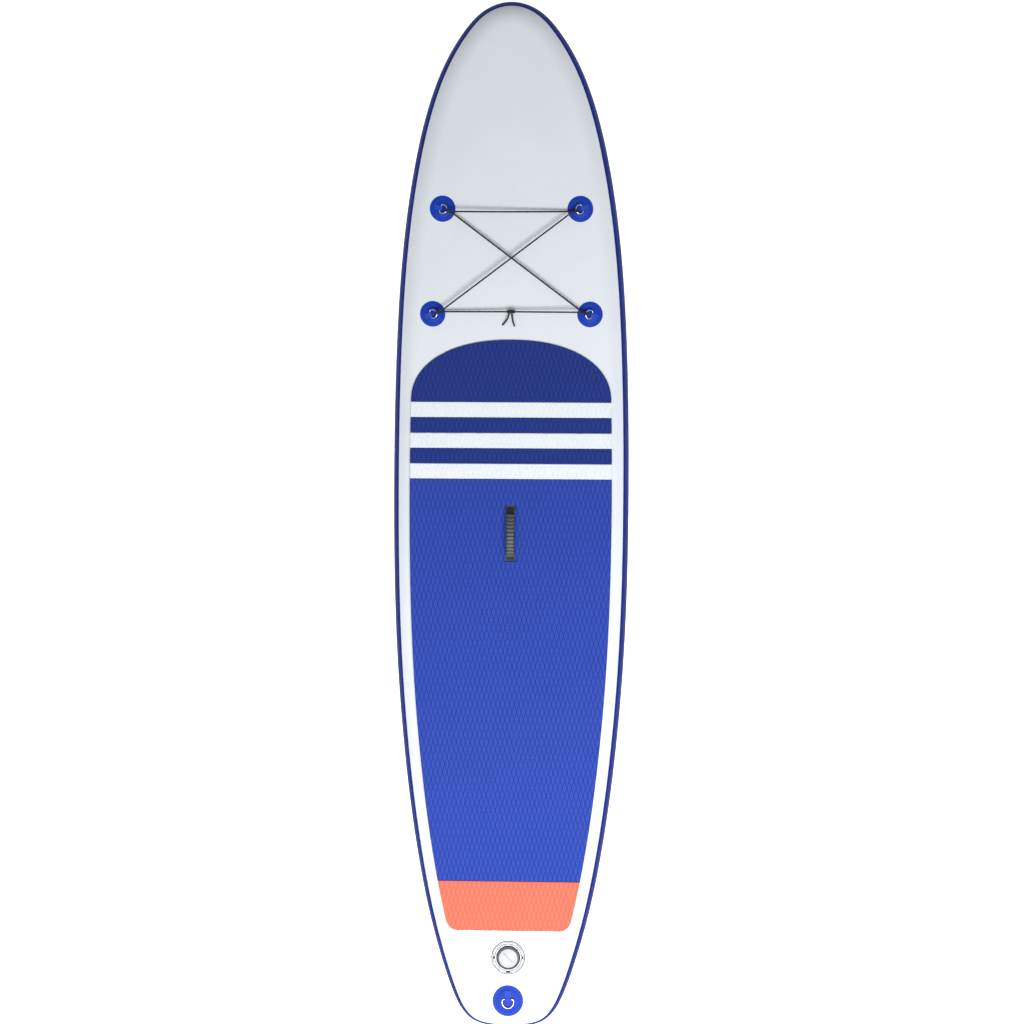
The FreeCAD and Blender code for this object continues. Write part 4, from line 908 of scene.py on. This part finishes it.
bm = bmesh.new()
bm.verts.layers.float.new("groove_shade")
around = bm.verts.layers.int.new("around")
groove_shade = bm.verts.layers.float["groove_shade"]
pitch = GRIP_LONG / (GRIP_RIBS + 1)
cuts = [(-GRIP_LONG / 2, 0.80, 0), (-GRIP_LONG / 2 + 0.0008, 0.93, 0), (-GRIP_LONG / 2 + 0.0025, 1, 0)]
for k in range(GRIP_RIBS):
    middle = (k - (GRIP_RIBS - 1) / 2) * pitch
    cuts += [(middle - GROOVE_WIDE / 2 - 0.0006, 1, 0), (middle - GROOVE_WIDE / 2, 1, 0.35),
             (middle - GROOVE_WIDE / 4, 1, 1), (middle + GROOVE_WIDE / 4, 1, 1),
             (middle + GROOVE_WIDE / 2, 1, 0.35), (middle + GROOVE_WIDE / 2 + 0.0006, 1, 0)]
cuts += [(GRIP_LONG / 2 - 0.0025, 1, 0), (GRIP_LONG / 2 - 0.0008, 0.93, 0), (GRIP_LONG / 2, 0.80, 0)]
section = bmesh.ops.create_circle(bm, segments=40, radius=1)["verts"]
shape = []
for i, v in enumerate(section):
    v[around] = i
    shape.append([math.copysign(abs(c) ** 0.62, c) for c in v.co.xy])


def shape_section(verts, y, grow, sink):
    """Lay one section of the grip: narrow at the waist, sunk on top where the grooves run, with the depth
    kept as the mark for their painted shade.
    """
    half = GRIP_WAIST / 2 + (GRIP_WIDE - GRIP_WAIST) / 2 * (2 * y / GRIP_LONG) ** 2
    for v in verts:
        x, z = shape[v[around]]
        deep = sink * max(0.0, min(1.0, 4 * z - 0.6))
        bow = 0.0050 * x * x * (2 * y / GRIP_LONG) * (1 - abs(2 * y / GRIP_LONG) ** 6) if z > 0 else 0.0
        v.co = (x * grow * half, y + bow, z * grow * GRIP_THICK / 2 - deep * RIB_DEEP)
        v[groove_shade] = deep


ring = bm.edges[:]
shape_section(section, *cuts[0])
bmesh.ops.edgeloop_fill(bm, edges=ring)
for cut in cuts[1:]:
    made = bmesh.ops.extrude_edge_only(bm, edges=ring)["geom"]
    fresh = {v for v in made if isinstance(v, bmesh.types.BMVert)}
    shape_section(fresh, *cut)
    ring = [e for e in made if isinstance(e, bmesh.types.BMEdge) and set(e.verts) <= fresh]
bmesh.ops.edgeloop_fill(bm, edges=ring)
for v in bm.verts:
    v.co.y -= GRIP_SETBACK
    on_arch(v)
bmesh.ops.recalc_face_normals(bm, faces=bm.faces[:])
# The grip's second colour is the painted shade deep in its grooves.
grip_rubber = rubber_material("grip_rubber", (0.085, 0.088, 0.098), (0.006, 0.006, 0.007))
make_piece("handle_grip_rubber", bm, grip_rubber, "handle", ["handle_grip"], 30)

for name in ("handle_patch_front", "handle_patch_rear"):
    finish_node(name, vinyl_material(name + "_vinyl", (0.016, 0.016, 0.018), (0.012, 0.012, 0.014), 0.4, 0.1))


# ---------------------------------------------------------------- inflation valve
# A push-and-lock valve: black body clamped through the deck by a nut, a sprung stem, and a
# grey cap with a bar across it, inside a printed PVC collar with raised guide marks.

VALVE_SPOT = on_board(0, VALVE_Y)
COLLAR_RADIUS, COLLAR_BORE, COLLAR_LOW, COLLAR_TOP = 0.055, 0.0358, 0.0004, 0.0019


def moulded_material(name, colour, shade, roughness):
    """Moulded plastic: fine spark-eroded grain and a slow drift of tone and gloss."""
    material, tree, shader = new_material(name, roughness)
    coords = node(tree, "ShaderNodeTexCoord")
    grain = node(tree, "ShaderNodeTexNoise", Scale=1500.0, Detail=2.0)
    patchy = node(tree, "ShaderNodeTexNoise", Scale=45.0, Detail=4.0)
    for texture in (grain, patchy):
        tree.links.new(coords.outputs["Object"], texture.inputs["Vector"])
    two_tone(tree, shader, patchy.outputs["Fac"], colour, shade)
    drift_gloss(tree, shader, patchy.outputs["Fac"], roughness * 0.8, roughness * 1.2)
    relief(tree, shader, grain.outputs["Fac"], 0.15, 0.0001)
    return material


def place_on_valve(bm):
    bmesh.ops.transform(bm, matrix=VALVE_SPOT, verts=bm.verts[:])


COLLAR_BANDS = [  # outer radius of each printed band and whether it is black
    (0.0550, True), (0.0524, False), (0.0502, True), (0.0486, False),
    (0.0452, True), (0.0434, False), (0.0392, True),
]
collar_black = vinyl_material("collar_black", (0.020, 0.021, 0.024), (0.014, 0.014, 0.017), 0.55, 0.0, 0.12)
collar_white = vinyl_material("collar_white", (0.78, 0.80, 0.84), (0.72, 0.75, 0.80), 0.38, 0.1)
profile = [(COLLAR_BORE, COLLAR_LOW), (COLLAR_RADIUS - 0.0002, COLLAR_LOW),
           (COLLAR_RADIUS, COLLAR_LOW + 0.0004), (COLLAR_RADIUS - 0.0006, COLLAR_TOP - 0.0001)]
for r, black in COLLAR_BANDS[1:]:
    profile += [(r + 0.0003, COLLAR_TOP), (r, COLLAR_TOP - 0.00025), (r - 0.0003, COLLAR_TOP)]
profile += [(COLLAR_BORE, COLLAR_TOP - 0.0003), (COLLAR_BORE, COLLAR_LOW)]
bm = turned(profile, 96)
for f in bm.faces:
    middle = f.calc_center_median()
    r = math.hypot(middle.x, middle.y)
    black = [band for limit, band in COLLAR_BANDS if r < limit + 0.0001][-1]
    f.material_index = 0 if black or middle.z < COLLAR_TOP - 0.0004 else 1
place_on_valve(bm)
collar = make_piece("valve_collar_print", bm, collar_black, "board", ["valve_collar"])
collar.data.materials.append(collar_white)


def collar_arcs(bm, radius, wide, starts, sweep):
    """Raised dashes that follow the collar, with chamfered edges."""
    for start in starts:
        place = Matrix.Rotation(math.radians(start), 4, "Z")
        dash = [bm.verts.new(place @ Vector((radius + side * wide / 2, 0, z)))
                for side, z in ((-1, 0.00185), (-0.8, 0.0021), (0.8, 0.0021), (1, 0.00185))]
        edges = [bm.edges.new(pair) for pair in zip(dash, dash[1:] + dash[:1])]
        end = bmesh.ops.edgeloop_fill(bm, edges=edges)["faces"]
        bmesh.ops.spin(bm, geom=end, cent=(0, 0, 0), axis=(0, 0, 1), angle=math.radians(sweep),
                       steps=max(3, round(sweep / 4)))


for name, material, arcs in (
        ("valve_collar_marks", collar_white, ((0.0494, 0.0008, range(15, 360, 45), 12), )),
        ("valve_collar_blocks", collar_black, ((0.0471, 0.0036, (-4, 176), 9), (0.0468, 0.0044, (262,), 16),
                                               (0.0413, 0.0010, range(8, 360, 30), 16)))):
    bm = bmesh.new()
    for radius, wide, starts, sweep in arcs:
        collar_arcs(bm, radius, wide, starts, sweep)
    bmesh.ops.recalc_face_normals(bm, faces=bm.faces[:])
    place_on_valve(bm)
    make_piece(name, bm, material, "board")

CAP_LOW, CAP_TOP, CAP_RADIUS = 0.0037, 0.0127, 0.03125
CAP_RIBS = 48
SKIRT_BORE, SKIRT_RADIUS, SKIRT_DEEP, CROWN = 0.0137, 0.0162, 0.0060, 0.0045
profile = [(SKIRT_BORE, CAP_LOW - SKIRT_DEEP), (SKIRT_RADIUS, CAP_LOW - SKIRT_DEEP), (SKIRT_RADIUS, CAP_LOW),
           (CAP_RADIUS - 0.0005, CAP_LOW), (CAP_RADIUS, CAP_LOW + 0.0005), (CAP_RADIUS, CAP_TOP - CROWN)]
profile += [(CAP_RADIUS - CROWN * (1 - math.cos(a)), CAP_TOP - CROWN * (1 - math.sin(a)))
            for a in (math.radians(15 * k) for k in range(1, 7))]
profile += [(CAP_RADIUS - 0.0060, CAP_TOP - 0.0002), (CAP_RADIUS - 0.0068, CAP_TOP - 0.0007),
            (CAP_RADIUS - 0.0076, CAP_TOP - 0.0004), (0, CAP_TOP - 0.0003)]
bm = turned(profile, CAP_RIBS * 3)
for v in bm.verts:
    r = math.hypot(v.co.x, v.co.y)
    if r > CAP_RADIUS - 0.0020 and CAP_LOW + 0.0004 < v.co.z < CAP_TOP - 0.0015:
        rib = round(math.degrees(math.atan2(v.co.y, v.co.x)) / 360 * CAP_RIBS * 3) % 3
        pull = 1 - (0.0006 / r if rib == 0 else 0)
        v.co.x, v.co.y = v.co.x * pull, v.co.y * pull
rim = [e for e in bm.edges if e.is_boundary]
if rim:
    bmesh.ops.edgeloop_fill(bm, edges=rim)
bar = Matrix.Translation((0, 0, CAP_TOP + 0.0006)) @ Matrix.Rotation(math.radians(-45), 4, "Z")
made = bmesh.ops.create_cube(bm, size=1, matrix=bar @ Matrix.Diagonal((0.046, 0.007, 0.0032, 1)))["verts"]
high = [v for v in made if v.co.z > CAP_TOP]
for v in high:
    across = Vector((math.sin(math.radians(45)), math.cos(math.radians(45)), 0))
    v.co -= across * v.co.dot(across) * 0.45
bmesh.ops.bevel(bm, geom=list({e for v in made for e in v.link_edges}), affect="EDGES", offset=0.0007,
                segments=3, profile=0.5, material=-1)
bmesh.ops.recalc_face_normals(bm, faces=bm.faces[:])
place_on_valve(bm)
cap_plastic = moulded_material("cap_plastic", (0.52, 0.54, 0.58), (0.47, 0.49, 0.53), 0.38)
make_piece("valve_cap_moulding", bm, cap_plastic, "valve_cap", ["valve_cap"], 35)

for name, finish, colour, shade, roughness in (
        ("valve_body", "valve_plastic", (0.018, 0.018, 0.020), (0.012, 0.012, 0.014), 0.35),
        ("valve_nut", "nut_plastic", (0.020, 0.020, 0.022), (0.014, 0.014, 0.016), 0.45),
        ("valve_stem", "stem_plastic", (0.45, 0.46, 0.48), (0.38, 0.39, 0.41), 0.4)):
    finish_node(name, moulded_material(finish, colour, shade, roughness))
finish_node("valve_gasket", rubber_material("gasket_rubber", (0.03, 0.03, 0.032), (0.02, 0.02, 0.022), 0.7))
finish_node("valve_spring", metal_material("spring_wire", 0.3))


# ---------------------------------------------------------------- inside the hull
# Tape glued along the seam inside the rail, and the drop stitch threads that hold the deck
# and the bottom parallel. Neither is seen from outside.

finish_node("seam_tape", vinyl_material("tape_vinyl", (0.60, 0.63, 0.68), (0.52, 0.55, 0.60), 0.5, 0.0))
finish_node("drop_stitch_threads", braid_material("stitch_thread", (0.70, 0.71, 0.72)))


# ---------------------------------------------------------------- fins
# A removable centre fin in a box bonded under the tail, held by a cross pin and a screw, and
# two small flexible fins glued each side of it.

fin_black = moulded_material("fin_black", (0.016, 0.016, 0.018), (0.024, 0.024, 0.027), 0.32)
box_black = moulded_material("box_black", (0.020, 0.020, 0.022), (0.013, 0.013, 0.015), 0.45)
soft_black = rubber_material("soft_black", (0.026, 0.027, 0.030), (0.02, 0.02, 0.022), 0.48)
for name, material in (("fin_box", box_black), ("centre_fin", fin_black), ("side_fin_left", soft_black),
                       ("side_fin_right", soft_black), ("side_fin_base_left", soft_black),
                       ("side_fin_base_right", soft_black), ("fin_screw", ring_steel)):
    finish_node(name, material)
finish_node("fin_pin", metal_material("brass_pin", 0.3, (0.55, 0.40, 0.16), (0.72, 0.55, 0.26)))
finish_node("fin_nut", metal_material("brass_nut", 0.3, (0.55, 0.40, 0.16), (0.72, 0.55, 0.26)))


# ---------------------------------------------------------------- floor and light
# A plain white floor just under the fins, a broad soft light over the tail that fades
# towards the nose, and an even pale surround.

low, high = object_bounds()
bm = bmesh.new()
bmesh.ops.create_grid(bm, x_segments=1, y_segments=1, size=14,
                      matrix=Matrix.Translation((0, 0, low.z - 0.004)))
floor_mesh = bpy.data.meshes.new("floor")
bm.to_mesh(floor_mesh)
bm.free()
floor = bpy.data.objects.new("floor", floor_mesh)
scene.collection.objects.link(floor)
material, tree, shader = new_material("floor_white", 0.9)
shader.inputs["Base Color"].default_value = (0.93, 0.93, 0.93, 1)
shader.inputs["Emission Color"].default_value = (1, 1, 1, 1)
shader.inputs["Emission Strength"].default_value = 0.75
floor_mesh.materials.append(material)

world = bpy.data.worlds.new("surround")
world.use_nodes = True
world.node_tree.nodes["Background"].inputs["Color"].default_value = (0.97, 0.985, 1.0, 1)
world.node_tree.nodes["Background"].inputs["Strength"].default_value = 0.34
scene.world = world


def soft_light(name, place, target, wide, long, power):
    light = bpy.data.lights.new(name, "AREA")
    light.shape = "RECTANGLE"
    light.size, light.size_y, light.energy = wide, long, power
    made = bpy.data.objects.new(name, light)
    made.location = place
    made.rotation_mode = "QUATERNION"
    made.rotation_quaternion = (Vector(place) - Vector(target)).to_track_quat("Z", "Y")
    scene.collection.objects.link(made)


soft_light("tail_light", (0.3, -1.8, 3.0), (0, -1.0, 0), 3.4, 2.0, 145)
scene.view_settings.view_transform = "Standard"
